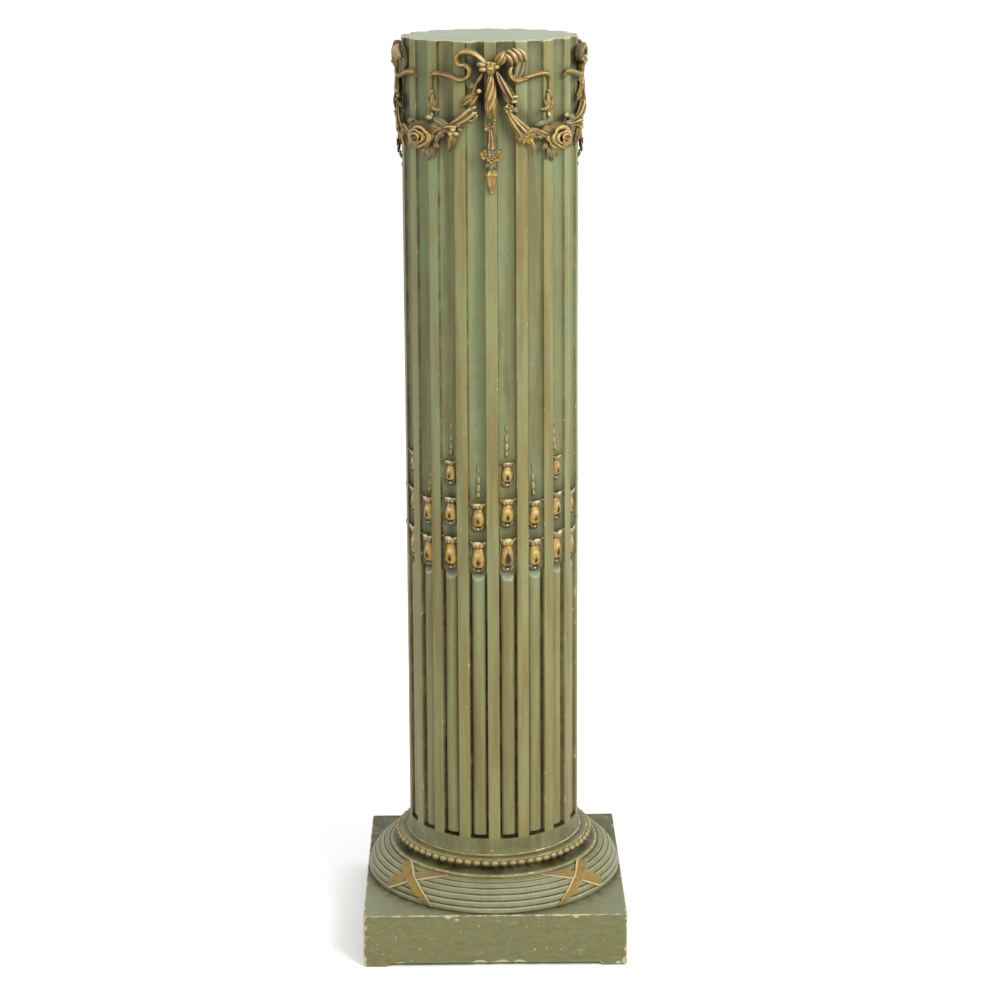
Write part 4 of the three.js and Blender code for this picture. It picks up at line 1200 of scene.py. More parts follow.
def drop_parts():
    """The drop: a twisted husk, two small petals, a berry, a second husk, a knot of flowers, a
    light-toned leaf cup and a closed bud."""
    husk = swept([
        (0.3, -35, 3.4, 2.2, 2.6), (0.4, -44, 3.2, 4.2, 4.2), (0.5, -55, 3.0, 6.2, 5.4),
        (0.6, -66, 3.0, 7.1, 6.0), (0.4, -75, 3.0, 7.0, 5.8), (0, -83, 2.6, 5.4, 4.8),
        (-0.6, -90, 2.2, 2.2, 2.6),
    ], rows=48, columns=30, lobes=6, groove=0.17, twist=24.0, tone=0.46)
    folds = [
        leaf((2.5, -66), (4.5, -89), 6.4, rise=2.5, fold=0.35, lift=6.4, tone=0.5),
        leaf((-3.0, -64), (-3.6, -86), 6.0, rise=2.0, fold=0.35, lift=6.2, tone=0.34),
        leaf((5.6, -88.5), (3.0, -92.5), 4.0, rise=1.8, lift=6.5, tone=0.86),
        leaf((6.6, -94.4), (2.4, -93.4), 4.4, rise=1.8, lift=6.0, tone=0.74),
    ]
    berry = [
        rosette((-2.6, -98.6, 4.4), 4.8, 5, cup=2.4, notch=0.25, heart=0.0, tone=0.2),
        ball((3.2, -97.5, 3.4), 2.1, 2.3, 2.6, tone=0.4),
    ]
    second = swept([
        (-0.6, -101, 3.2, 1.6, 2.0), (0, -106, 3.6, 3.0, 3.0), (0.4, -113, 3.6, 4.2, 3.8),
        (0.6, -120, 3.8, 5.2, 4.2), (0.6, -124.5, 4.0, 5.8, 4.4),
    ], rows=20, columns=24, lobes=6, groove=0.28, twist=1.0, mouth=4.0, tone=0.12)
    flowers = [
        rosette((-5.6, -130.4, 6.0), 6.0, 5, cup=1.4, notch=0.4, heart=2.0, turn=0.4, tone=0.66),
        rosette((6.4, -131.4, 6.2), 6.6, 5, cup=1.2, notch=0.4, heart=2.2, turn=1.0, tone=0.58),
        rosette((1.2, -127.4, 7.6), 4.4, 5, cup=1.4, notch=0.35, heart=1.6, turn=0.2, tone=0.8),
        rosette((1.0, -135.6, 7.0), 5.4, 5, cup=1.2, notch=0.35, heart=1.8, turn=0.8, tone=0.52),
        rosette((9.4, -126.6, 4.4), 3.6, 5, cup=1.0, notch=0.35, heart=1.2, turn=0.1, tone=0.3),
    ]
    cup = [
        leaf((-0.5, -138), (-5.8, -147.5), 5.6, rise=2.4, lift=3.4, tone=0.95),
        leaf((1.5, -138), (6.0, -147.0), 5.4, rise=2.4, lift=3.4, tone=0.85),
        leaf((0.4, -139), (0.2, -151), 6.0, rise=2.8, lift=4.0, tone=0.98),
    ]
    bud = swept([
        (0.2, -143, 2.2, 1.6, 2.2), (0.2, -149, 2.6, 3.6, 3.4), (0.1, -152.4, 3.0, 7.2, 5.4),
        (0, -154.4, 3.2, 8.6, 6.2), (0, -156.4, 3.2, 7.4, 5.6), (0, -158.4, 3.2, 6.3, 4.9),
        (0.2, -165, 2.8, 5.4, 4.4), (0.5, -171, 2.4, 4.2, 3.8), (0.6, -175, 2.0, 2.6, 2.6),
        (0.6, -176.8, 1.8, 0.6, 0.8),
    ], rows=46, columns=20, lobes=5, groove=0.07, tone=0.5)
    tip = ball((0.6, -174.6, 4.2), 1.6, 1.6, 1.1, tone=0.9)
    return [husk, *folds, *berry, second, *flowers, *cup, bud, tip]


def bow_part(index, sizes, shaft):
    """The whole bow at one place. At the sides a flute runs behind it, so its flowers and bud lie
    back into the flute by up to 9 mm, and there the tail towards the front is broken."""
    left = broken_tail(-1) if PLACES[index] == "right" else bow_tail(-1)
    right = broken_tail(1) if PLACES[index] == "left" else bow_tail(1)
    upper = [*knot_parts(), bow_loop_left(sizes), *bow_loop_right(sizes), *left, *right]
    drop = drop_parts()
    if index % 2:
        for part in drop:
            t = part["points"][:, 1]
            sink = 2.5 * step(-t, 95, 120) + 5.5 * step(-t, 138, 152)
            part["points"] = part["points"] - np.stack([0 * t, 0 * t, sink], -1)
    return placed_round([*upper, *drop], index, shaft)


# Swags


def bell_half():
    """From the knot to the rose: a ribbed husk with a curled end, a small flower, a leaf, a
    striped trumpet with a starry mouth, a hanging petal and a link."""
    husk = swept([
        (6.6, -34, 3.2, 1.2, 1.6), (9.5, -41, 3.8, 3.6, 3.4), (14.2, -50.0, 4.2, 5.2, 4.6),
        (19.4, -58, 4.4, 5.6, 4.8), (24.0, -65, 4.2, 4.4, 4.0), (27.4, -69.6, 3.6, 1.4, 1.8),
    ], rows=38, columns=26, lobes=5, groove=0.32, twist=6.0, tone=0.34)
    curls = [
        ball((27.0, -63.6, 6.4), 4.4, 2.3, 2.8, tone=0.3),
        ball((26.8, -69.4, 5.6), 4.6, 2.2, 2.6, tone=0.7),
        leaf((14.0, -56.0), (22.5, -75.0), 5.6, rise=3.0, tone=0.5),
    ]
    small = [
        rosette((20.2, -77.0, 4.2), 5.6, 5, cup=1.6, notch=0.35, heart=2.4, turn=0.5, tone=0.24),
        ball((17.6, -75.0, 6.4), 1.8, 1.8, 1.5, tone=0.8),
        ball((21.8, -79.6, 6.2), 1.8, 1.6, 1.4, tone=0.2),
        leaf((24.5, -76.4), (32.5, -82.6), 6.0, rise=2.6, lift=2.2, tone=0.98),
    ]
    trumpet = swept([
        (19.6, -80.5, 3.4, 2.0, 2.2), (23.2, -87.0, 4.2, 4.6, 4.2), (28.0, -94.0, 4.8, 6.8, 5.4),
        (33.0, -100.5, 5.2, 8.4, 6.2), (37.0, -105.5, 5.4, 9.8, 6.4), (38.6, -107.6, 5.4, 9.8, 6.0),
    ], rows=26, columns=36, lobes=7, groove=0.36, mouth=3.0, tone=0.42)
    star = rosette((40.4, -109.0, 8.8), 11.0, 9, cup=-1.6, notch=0.55, heart=-2.2, turn=0.1,
                   thick=2.6, tone=0.54)
    stamens = rosette((39.6, -108.0, 9.2), 3.4, 6, cup=0.6, notch=0.3, heart=1.6, thick=1.6, tone=0.5)
    petal = swept([
        (43.4, -112.5, 6.6, 1.6, 1.6), (46.2, -117, 7.0, 2.7, 2.4), (48.4, -122.5, 6.2, 2.9, 2.5),
        (49.4, -128.5, 4.4, 2.5, 2.2), (49.2, -133.0, 3.0, 0.7, 0.9),
    ], rows=16, columns=12, lobes=3, groove=0.12, tone=0.56)
    frill = [
        leaf((36.0, -111.0), (31.5, -118.0), 4.4, rise=2.0, lift=4.0, tone=0.2),
        leaf((48.0, -107.0), (54.5, -113.5), 5.0, rise=2.0, lift=3.6, tone=0.12),
        leaf((33.0, -107.0), (27.5, -112.5), 4.2, rise=1.8, lift=3.6, tone=0.46),
    ]
    link = swept([
        (43, -101.5, 3.6, 1.4, 1.8), (50, -103.5, 4.0, 3.8, 3.6), (58, -107, 4.2, 5.0, 4.2),
        (66, -110, 4.0, 4.4, 4.0), (71, -111.5, 3.2, 1.0, 1.4),
    ], rows=20, columns=18, lobes=5, groove=0.3, twist=3.0, tone=0.3, dark=0.25)
    band = leaf((52, -98.6), (74, -92.8), 6.4, rise=3.4, lift=1.8, tone=0.95)
    return [husk, *curls, *small, trumpet, star, stamens, petal, *frill, link, band]


def leaf_half():
    """From the next knot back to the rose: a dark twig, a light-toned flower and a pearl, a pair of
    long leaves, two bell flowers, a hanging bud and grey leaves. Measured back from the knot."""
    twig = swept([
        (8.0, -35.5, 2.6, 0.9, 1.2), (12.0, -42.0, 3.0, 2.2, 2.2), (16.5, -49.5, 3.0, 1.7, 1.8),
        (18.6, -55.5, 2.8, 1.9, 1.9), (20.0, -62, 2.8, 1.6, 1.7), (21.6, -70, 3.0, 2.0, 2.0),
        (22.8, -79, 3.2, 1.0, 1.2),
    ], rows=30, columns=10, lobes=3, groove=0.1, tone=0.45, dark=0.35)
    top = [
        leaf((17.4, -55.4), (24.2, -46.4), 6.0, rise=2.2, tone=0.98),
        leaf((16.4, -53.5), (26.8, -51.4), 5.0, rise=2.0, tone=0.85),
        ball((12.8, -56.8, 4.6), 3.0, 3.0, 2.8, tone=0.98),
        leaf((14.6, -57.6), (35.6, -70.6), 6.2, rise=3.6, fold=0.5, tone=0.52),
        leaf((16.5, -61.5), (35.0, -76.6), 6.2, rise=3.4, fold=0.5, tone=0.46),
        leaf((14.4, -61.0), (25.0, -79.0), 4.6, rise=2.8, fold=0.4, tone=0.4),
    ]
    bell = swept([
        (47.5, -96.0, 3.6, 2.0, 2.2), (42.0, -95.0, 4.2, 4.6, 4.0), (35.5, -92.4, 4.6, 6.6, 5.2),
        (28.5, -88.4, 5.0, 8.0, 6.0), (22.6, -83.6, 5.4, 8.8, 6.2), (18.6, -79.6, 5.4, 7.4, 5.6),
    ], rows=24, columns=32, lobes=6, groove=0.34, mouth=3.5, twist=1.5, tone=0.5)
    # A painted highlight on the bell's crests.
    bell["pale"] = bell["pale"] + 0.45 * bell["edge"]
    tips = [
        leaf((25.5, -80.0), (15.6, -74.2), 6.0, rise=2.6, lift=5.0, tone=0.6),
        leaf((24.5, -86.5), (14.6, -80.6), 6.4, rise=2.6, lift=7.0, tone=0.55),
        leaf((28.0, -92.5), (18.0, -89.4), 6.0, rise=2.6, lift=4.6, tone=0.48),
    ]
    second = swept([
        (57.5, -101.0, 3.4, 2.0, 2.2), (53.0, -101.4, 4.2, 4.8, 4.2), (47.5, -101.4, 4.8, 7.2, 5.4),
        (42.0, -101.8, 5.4, 8.8, 6.2), (37.6, -102.6, 5.8, 8.6, 6.2),
    ], rows=20, columns=30, lobes=6, groove=0.3, mouth=3.0, tone=0.34)
    inside = [
        ball((41.2, -101.6, 10.0), 3.4, 2.6, 2.2, tone=0.85),
        ball((38.0, -106.6, 8.6), 3.4, 2.8, 2.4, tone=0.6),
        ball((44.2, -107.0, 9.0), 3.2, 3.0, 2.4, tone=0.78),
        leaf((43.0, -97.6), (33.0, -96.4), 5.6, rise=2.4, lift=6.6, tone=0.2),
        leaf((38.0, -99.6), (30.6, -103.6), 5.0, rise=2.2, lift=6.0, tone=0.5),
    ]
    bud = swept([
        (42.8, -104.5, 6.4, 2.6, 2.6), (43.8, -110.0, 5.8, 5.6, 4.8), (45.4, -116.5, 4.8, 5.8, 4.8),
        (47.6, -123.0, 3.4, 3.8, 3.6), (49.6, -129.0, 2.2, 0.7, 1.0),
    ], rows=18, columns=18, lobes=4, groove=0.16, tone=0.66, dark=0.3)
    grey = [
        leaf((48.5, -99.0), (70.5, -89.0), 10.6, rise=4.2, lift=3.0, tone=1.0),
        leaf((56.0, -101.0), (76.0, -98.0), 9.0, rise=4.0, lift=3.0, tone=0.9),
        leaf((53.0, -102.0), (65.5, -113.0), 7.4, rise=3.4, lift=3.6, tone=0.1),
        leaf((60.0, -104.0), (66.0, -121.0), 7.0, rise=3.4, lift=3.4, tone=0.14),
        ball((74.4, -89.4, 4.0), 5.0, 3.6, 3.6, grooves=4, tone=0.96),
    ]
    link = swept([
        (56, -100.5, 3.2, 1.0, 1.4), (61, -102.2, 3.6, 3.4, 3.2), (67, -105.0, 3.6, 3.8, 3.4),
        (73, -108, 3.2, 1.0, 1.4),
    ], rows=14, columns=12, lobes=4, groove=0.2, tone=0.2, dark=0.3)
    return [twig, *top, bell, *tips, second, *inside, bud, *grey, link]


def rose_petal(radius, turn, spread, lift, curl, tone, depth=8.0):
    """A cupped petal: at a share v from the heart outwards and x across, it lies at the angle
    turn + spread * x * (1 - v^5)^0.5 and the radius times (0.3 + 0.7 v), and stands 0.4 * depth
    high plus lift * sin(pi * v * 0.66), less curl * v^4 at its rolled rim."""
    v = np.linspace(0, 1, 13)[:, None]
    x = np.sin(np.linspace(-np.pi / 2, np.pi / 2, 13))[None]
    reach = radius * (0.3 + 0.7 * v) * (1 - 0.10 * x**2 * v)
    open_to = np.clip(1 - v**5, 0, 1) ** 0.5 * np.clip(v * 6, 0, 1) ** 0.5
    angle = turn + spread * x * open_to
    high = lift * np.sin(np.pi * v * 0.66) - curl * v**4 + 0.12 * lift * x**2 * v + depth * 0.4
    front = np.stack([reach * np.cos(angle), reach * np.sin(angle) * 0.82, high + 0 * x], -1)
    # A painted highlight on the petal's rolled rim and sides, and painted shade towards the heart.
    edge = np.clip(1 - np.abs(v - 0.72) / 0.14, 0, 1) + np.clip(5 * np.abs(x) - 4.3, 0, 1) * 0.5
    hollow = np.clip(0.9 - 2.2 * v, 0, 1) + 0 * x
    return sheet(front, 2.0, hollow=hollow, edge=np.clip(edge + 0 * x, 0, 1), tone=tone)


def rose_heart(radius, tall, tone):
    """The rose's closed heart: a dome with a spiral groove. Its height is tall * (1 -
    share^2.2)^0.6 + 0.95 * cos(2.6 turns * share + angle) * sin(pi * share)^0.5."""
    share = np.linspace(0, 1, 16)[:, None]
    angle = np.linspace(0, 2 * np.pi, 30, endpoint=False)[None]
    wind = np.cos(2 * np.pi * 2.6 * share + angle)
    high = tall * np.clip(1 - share**2.2, 0, 1) ** 0.6 + 0.95 * wind * np.sin(np.pi * share) ** 0.5
    reach = radius * share
    front = np.stack([reach * np.cos(angle), reach * np.sin(angle) * 0.85, high], -1)
    back = np.array([0.7, 0.3, 0.0])[:, None]
    below = np.stack([
        radius * back * np.cos(angle), radius * back * np.sin(angle) * 0.85, -2.0 + 0 * back * angle
    ], -1)
    # Painted shade in the spiral groove and under the dome, and a painted highlight on the spiral's crest.
    hollow = np.concatenate([np.clip(0.15 - wind, 0, 1) + 0 * share, np.ones((3, 30))])
    edge = np.concatenate([np.clip(wind - 0.2, 0, 1) + 0 * share, np.zeros((3, 30))])
    return skin(np.concatenate([front, below]), hollow=hollow, edge=edge, tone=tone)


def rose_parts(run, sizes, mirror):
    """The rose at a swag's lowest point. Its heart lies off the middle, each ring of cupped petals
    a little nearer to it, so that it seems to turn its face down and to the side. Broad ribbed
    petals lie over its top, and leaves hang below."""
    reach = sizes.rose_radius * MM
    rng = np.random.default_rng(14 + mirror)
    parts = []
    rings = (
        (1.0, 5, 0.5, 0.86, 5.8, 3.0, 0.0, 0.0), (0.82, 4, 0.1, 1.05, 8.4, 2.8, 1.6, 2.0),
        (0.62, 3, 0.9, 1.25, 9.8, 2.4, 2.6, 4.0), (0.42, 3, 0.0, 1.25, 10.4, 2.0, 3.4, 5.5),
    )
    for share, count, offset, spread, lift, curl, depth, shift in rings:
        for k in range(count):
            turn = offset + 2 * np.pi * k / count + rng.uniform(-0.15, 0.15)
            size = reach * share * rng.uniform(0.86, 1.06)
            petal = rose_petal(size, turn, spread, lift, curl, rng.uniform(0.15, 0.8), depth)
            petal["points"] = petal["points"] + [shift, -0.7 * shift, 0]
            parts.append(petal)
    heart = rose_heart(reach * 0.24, 10.6, 0.4)
    heart["points"] = heart["points"] + [6.4, -4.4, 1.6]
    parts.append(heart)
    for angle, length, wide, tone in (
        (30, 27, 13, 0.3), (58, 24, 13, 0.12), (88, 22, 13, 0.4), (118, 23, 13, 0.22),
        (148, 27, 12, 0.5),
    ):
        way = np.radians(angle)
        start = (5 * np.cos(way), 4 * np.sin(way))
        end = (length * np.cos(way), length * 0.8 * np.sin(way))
        broad = leaf(start, end, wide, rise=5.4, lift=2.2, fold=0.3, tip=1.1, tone=tone, ribs=5)
        # The broad petals are darker overall, with weaker highlights.
        broad["hollow"] = broad["hollow"] + 0.4
        broad["edge"] = broad["edge"] * 0.6
        parts.append(broad)
    for start, end, wide, tone in (
        ((-15, -8), (-23, -14), 8.0, 0.75), ((-9, -11), (-9, -30), 8.4, 0.95),
        ((-4, -12), (-1, -25), 7.0, 0.8), ((-13, -10), (-16, -27), 6.6, 0.2),
        ((17, -8), (25, -15), 8.0, 0.7), ((20, 2), (30, -1), 8.0, 0.35), ((-20, 2), (-30, 1), 8.0, 0.2),
    ):
        parts.append(leaf(start, end, wide, rise=3.4, lift=1.8, tone=tone))
    for part in parts:
        stretch = np.array([mirror * 1.1, 1, 1])
        drop = -112.5 if mirror > 0 else -110.5
        part["points"] = part["points"] * stretch + [run - 1.0 * mirror, drop, 0.6]
    return parts


def swag_part(index, sizes, shaft):
    """The swag from one bow to the next. Its rose lies a little nearer to the side bow, and both
    halves are drawn in or out along s to meet it."""
    spacing = np.pi / 2 * shaft.top_radius * MM
    run = spacing / 2 + 4 * np.cos(index * np.pi)
    parts = []
    for part in bell_half():
        part["points"] = part["points"] * [run / DRAWN_RUN, 1, 1]
        parts.append(part)
    for part in leaf_half():
        back = part["points"] * [-(spacing - run) / DRAWN_RUN, 1, 1]
        part["points"] = back + [spacing, 0, 0]
        parts.append(part)
    parts += rose_parts(run, sizes, -1 if index % 2 else 1)
    return placed_round(parts, index, shaft)


# Shader nodes


class Wires:
    """Short ways to place and join the nodes of one tree."""

    def __init__(self, tree):
        self.tree = tree

    def place(self, kind, **settings):
        """A new node with its settings."""
        node = self.tree.nodes.new(kind)
        for name, value in settings.items():
            setattr(node, name, value)
        return node

    def feed(self, socket, value):
        """Joins an output to a socket, or sets the socket to a plain value."""
        if isinstance(value, bpy.types.NodeSocket):
            self.tree.links.new(value, socket)
        elif hasattr(value, "__len__") and len(value) == 3 and socket.type == "RGBA":
            socket.default_value = (*value, 1.0)
        else:
            socket.default_value = value

    def math(self, operation, first, second=0.0):
        """One sum of two numbers, kept between 0 and 1."""
        node = self.place("ShaderNodeMath", operation=operation, use_clamp=True)
        self.feed(node.inputs[0], first)
        self.feed(node.inputs[1], second)
        return node.outputs[0]

    def free_math(self, operation, first, second=0.0):
        """One sum of two numbers."""
        node = self.place("ShaderNodeMath", operation=operation)
        self.feed(node.inputs[0], first)
        self.feed(node.inputs[1], second)
        return node.outputs[0]

    def stretched(self, vector, scale):
        """A vector multiplied along each axis."""
        node = self.place("ShaderNodeVectorMath", operation="MULTIPLY")
        self.feed(node.inputs[0], vector)
        node.inputs[1].default_value = scale
        return node.outputs[0]

    def noise(self, vector, scale, detail=3.0, rough=0.55):
        """Cloudy noise from about 0.3 to 0.7."""
        node = self.place("ShaderNodeTexNoise")
        self.feed(node.inputs["Vector"], vector)
        self.feed(node.inputs["Scale"], scale)
        node.inputs["Detail"].default_value = detail
        node.inputs["Roughness"].default_value = rough
        return node.outputs[0]

    def cells(self, vector, scale):
        """Distance from the borders of cells."""
        node = self.place("ShaderNodeTexVoronoi", feature="DISTANCE_TO_EDGE")
        self.feed(node.inputs["Vector"], vector)
        self.feed(node.inputs["Scale"], scale)
        return node.outputs["Distance"]

    def between(self, value, low, high, to_low=0.0, to_high=1.0):
        """A smooth step of a value from low to high."""
        node = self.place("ShaderNodeMapRange", interpolation_type="SMOOTHSTEP")
        self.feed(node.inputs["Value"], value)
        self.feed(node.inputs["From Min"], low)
        self.feed(node.inputs["From Max"], high)
        self.feed(node.inputs["To Min"], to_low)
        self.feed(node.inputs["To Max"], to_high)
        return node.outputs["Result"]

    def mix(self, share, first, second):
        """Two colours mixed."""
        node = self.place("ShaderNodeMix", data_type="RGBA")
        self.feed(node.inputs[0], share)
        self.feed(node.inputs[6], first)
        self.feed(node.inputs[7], second)
        return node.outputs[2]

    def use(self, group, **values):
        """A group node with its inputs fed, by names with spaces as underscores."""
        node = self.place("ShaderNodeGroup", node_tree=group)
        for name, value in values.items():
            self.feed(node.inputs[name.replace("_", " ")], value)
        return node.outputs


def new_group(name, takes, gives):
    """A shader node group with named inputs and outputs."""
    tree = bpy.data.node_groups.new(name, "ShaderNodeTree")
    for label, kind, value in takes:
        socket = tree.interface.new_socket(label, in_out="INPUT", socket_type=kind)
        if value is not None:
            socket.default_value = value
    for label, kind in gives:
        tree.interface.new_socket(label, in_out="OUTPUT", socket_type=kind)
    wires = Wires(tree)
    return wires, wires.place("NodeGroupInput").outputs, wires.place("NodeGroupOutput").inputs


def worn_edges_group():
    """Where paint or gilding is rubbed away or takes a painted highlight: the rubbing and highlight mark,
    broken up by noise of two sizes.
    """
    wires, given, made = new_group(
        "worn_edges",
        [("Vector", "NodeSocketVector", None), ("Edge", "NodeSocketFloat", 0.0),
         ("Amount", "NodeSocketFloat", 0.5), ("Scale", "NodeSocketFloat", 90.0)],
        [("Rubbed", "NodeSocketFloat"), ("Bare", "NodeSocketFloat")],
    )
    coarse = wires.noise(given["Vector"], given["Scale"], 4.0, 0.65)
    fine_scale = wires.free_math("MULTIPLY", given["Scale"], 5.0)
    fine = wires.noise(given["Vector"], fine_scale, 3.0, 0.6)
    most, rest = wires.free_math("MULTIPLY", coarse, 0.7), wires.free_math("MULTIPLY", fine, 0.3)
    rough = wires.free_math("ADD", most, rest)
    reach = wires.free_math("MULTIPLY", given["Edge"], given["Amount"])
    total = wires.free_math("ADD", rough, reach)
    wires.feed(made["Rubbed"], wires.between(total, 0.68, 0.86))
    wires.feed(made["Bare"], wires.between(total, 0.96, 1.04))
    return wires.tree


def darkening_group():
    """Grime and painted shade from the darkening mark, thinned and thickened by noise."""
    wires, given, made = new_group(
        "painted_shade_and_grime",
        [("Vector", "NodeSocketVector", None), ("Hollow", "NodeSocketFloat", 0.0),
         ("Amount", "NodeSocketFloat", 0.5)],
        [("Mask", "NodeSocketFloat")],
    )
    cloud = wires.noise(given["Vector"], 42.0, 4.0, 0.6)
    uneven = wires.between(cloud, 0.3, 0.7, 0.6, 1.3)
    darkened = wires.free_math("MULTIPLY", given["Hollow"], given["Amount"])
    wires.feed(made["Mask"], wires.math("MULTIPLY", darkened, uneven))
    return wires.tree


def streaks_group():
    """Long upright streaks, such as brushed glaze and faded paint, broad cloudy patches, and a
    tint that changes from one part of the piece to another."""
    wires, given, made = new_group(
        "upright_streaks",
        [("Vector", "NodeSocketVector", None), ("Length", "NodeSocketFloat", 14.0)],
        [("Streak", "NodeSocketFloat"), ("Patch", "NodeSocketFloat"), ("Tint", "NodeSocketFloat")],
    )
    shrink = wires.free_math("DIVIDE", 1.0, given["Length"])
    split = wires.place("ShaderNodeSeparateXYZ")
    wires.feed(split.inputs[0], given["Vector"])
    joined = wires.place("ShaderNodeCombineXYZ")
    wires.feed(joined.inputs[0], split.outputs[0])
    wires.feed(joined.inputs[1], split.outputs[1])
    wires.feed(joined.inputs[2], wires.free_math("MULTIPLY", split.outputs[2], shrink))
    wires.feed(made["Streak"], wires.between(wires.noise(joined.outputs[0], 95.0, 5.0, 0.62), 0.36, 0.66))
    clouds = wires.noise(wires.stretched(given["Vector"], (1.0, 1.0, 0.35)), 24.0, 4.0, 0.6)
    wires.feed(made["Patch"], wires.between(clouds, 0.38, 0.64))
    broad = wires.noise(wires.stretched(joined.outputs[0], (1.0, 1.0, 1.6)), 26.0, 3.0, 0.55)
    wires.feed(made["Tint"], wires.between(broad, 0.40, 0.60))
    return wires.tree


def paint_film_group():
    """The surface of old brushed paint: brush lines, soft lumps, a fine crackle and small flakes."""
    wires, given, made = new_group(
        "old_paint_film",
        [("Vector", "NodeSocketVector", None), ("Crackle", "NodeSocketFloat", 0.5),
         ("Flaking", "NodeSocketFloat", 0.0)],
        [("Height", "NodeSocketFloat"), ("Cracks", "NodeSocketFloat"), ("Flakes", "NodeSocketFloat")],
    )
    brushed = wires.noise(wires.stretched(given["Vector"], (1.0, 1.0, 0.08)), 900.0, 2.0, 0.5)
    lumps = wires.noise(given["Vector"], 130.0, 4.0, 0.6)
    cells = wires.cells(wires.stretched(given["Vector"], (1.0, 1.0, 0.45)), 170.0)
    line = wires.between(cells, 0.0, 0.035, 1.0, 0.0)
    patchy = wires.between(wires.noise(given["Vector"], 14.0, 2.0), 0.5, 0.62)
    cracks = wires.math("MULTIPLY", wires.math("MULTIPLY", line, patchy), given["Crackle"])
    specks = wires.noise(wires.stretched(given["Vector"], (1.0, 1.0, 0.8)), 190.0, 3.0, 0.7)
    flakes = wires.between(wires.free_math("ADD", specks, given["Flaking"]), 0.70, 0.74)
    marks, swell = wires.free_math("MULTIPLY", brushed, 0.35), wires.free_math("MULTIPLY", lumps, 0.75)
    height = wires.free_math("ADD", marks, swell)
    height = wires.free_math("SUBTRACT", height, wires.free_math("MULTIPLY", cracks, 0.5))
    height = wires.free_math("SUBTRACT", height, wires.free_math("MULTIPLY", flakes, 0.5))
    wires.feed(made["Height"], height)
    wires.feed(made["Cracks"], cracks)
    wires.feed(made["Flakes"], flakes)
    return wires.tree


def groups():
    """The shared groups, built once."""
    makers = {
        "worn_edges": worn_edges_group, "painted_shade_and_grime": darkening_group,
        "upright_streaks": streaks_group, "old_paint_film": paint_film_group,
    }
    return {name: bpy.data.node_groups.get(name) or make() for name, make in makers.items()}


def begin_material(name):
    """A material with its shader, the object's coordinates and the piece's marks."""
    material = bpy.data.materials.get(name)
    if material:
        return material, None, None, None, None
    material = bpy.data.materials.new(name)
    material.use_nodes = True
    wires = Wires(material.node_tree)
    shader = material.node_tree.nodes["Principled BSDF"]
    vector = wires.place("ShaderNodeTexCoord").outputs["Object"]
    marks = {mark: wires.place("ShaderNodeAttribute", attribute_name=mark).outputs["Fac"] for mark in MARKS}
    return material, wires, shader, vector, marks


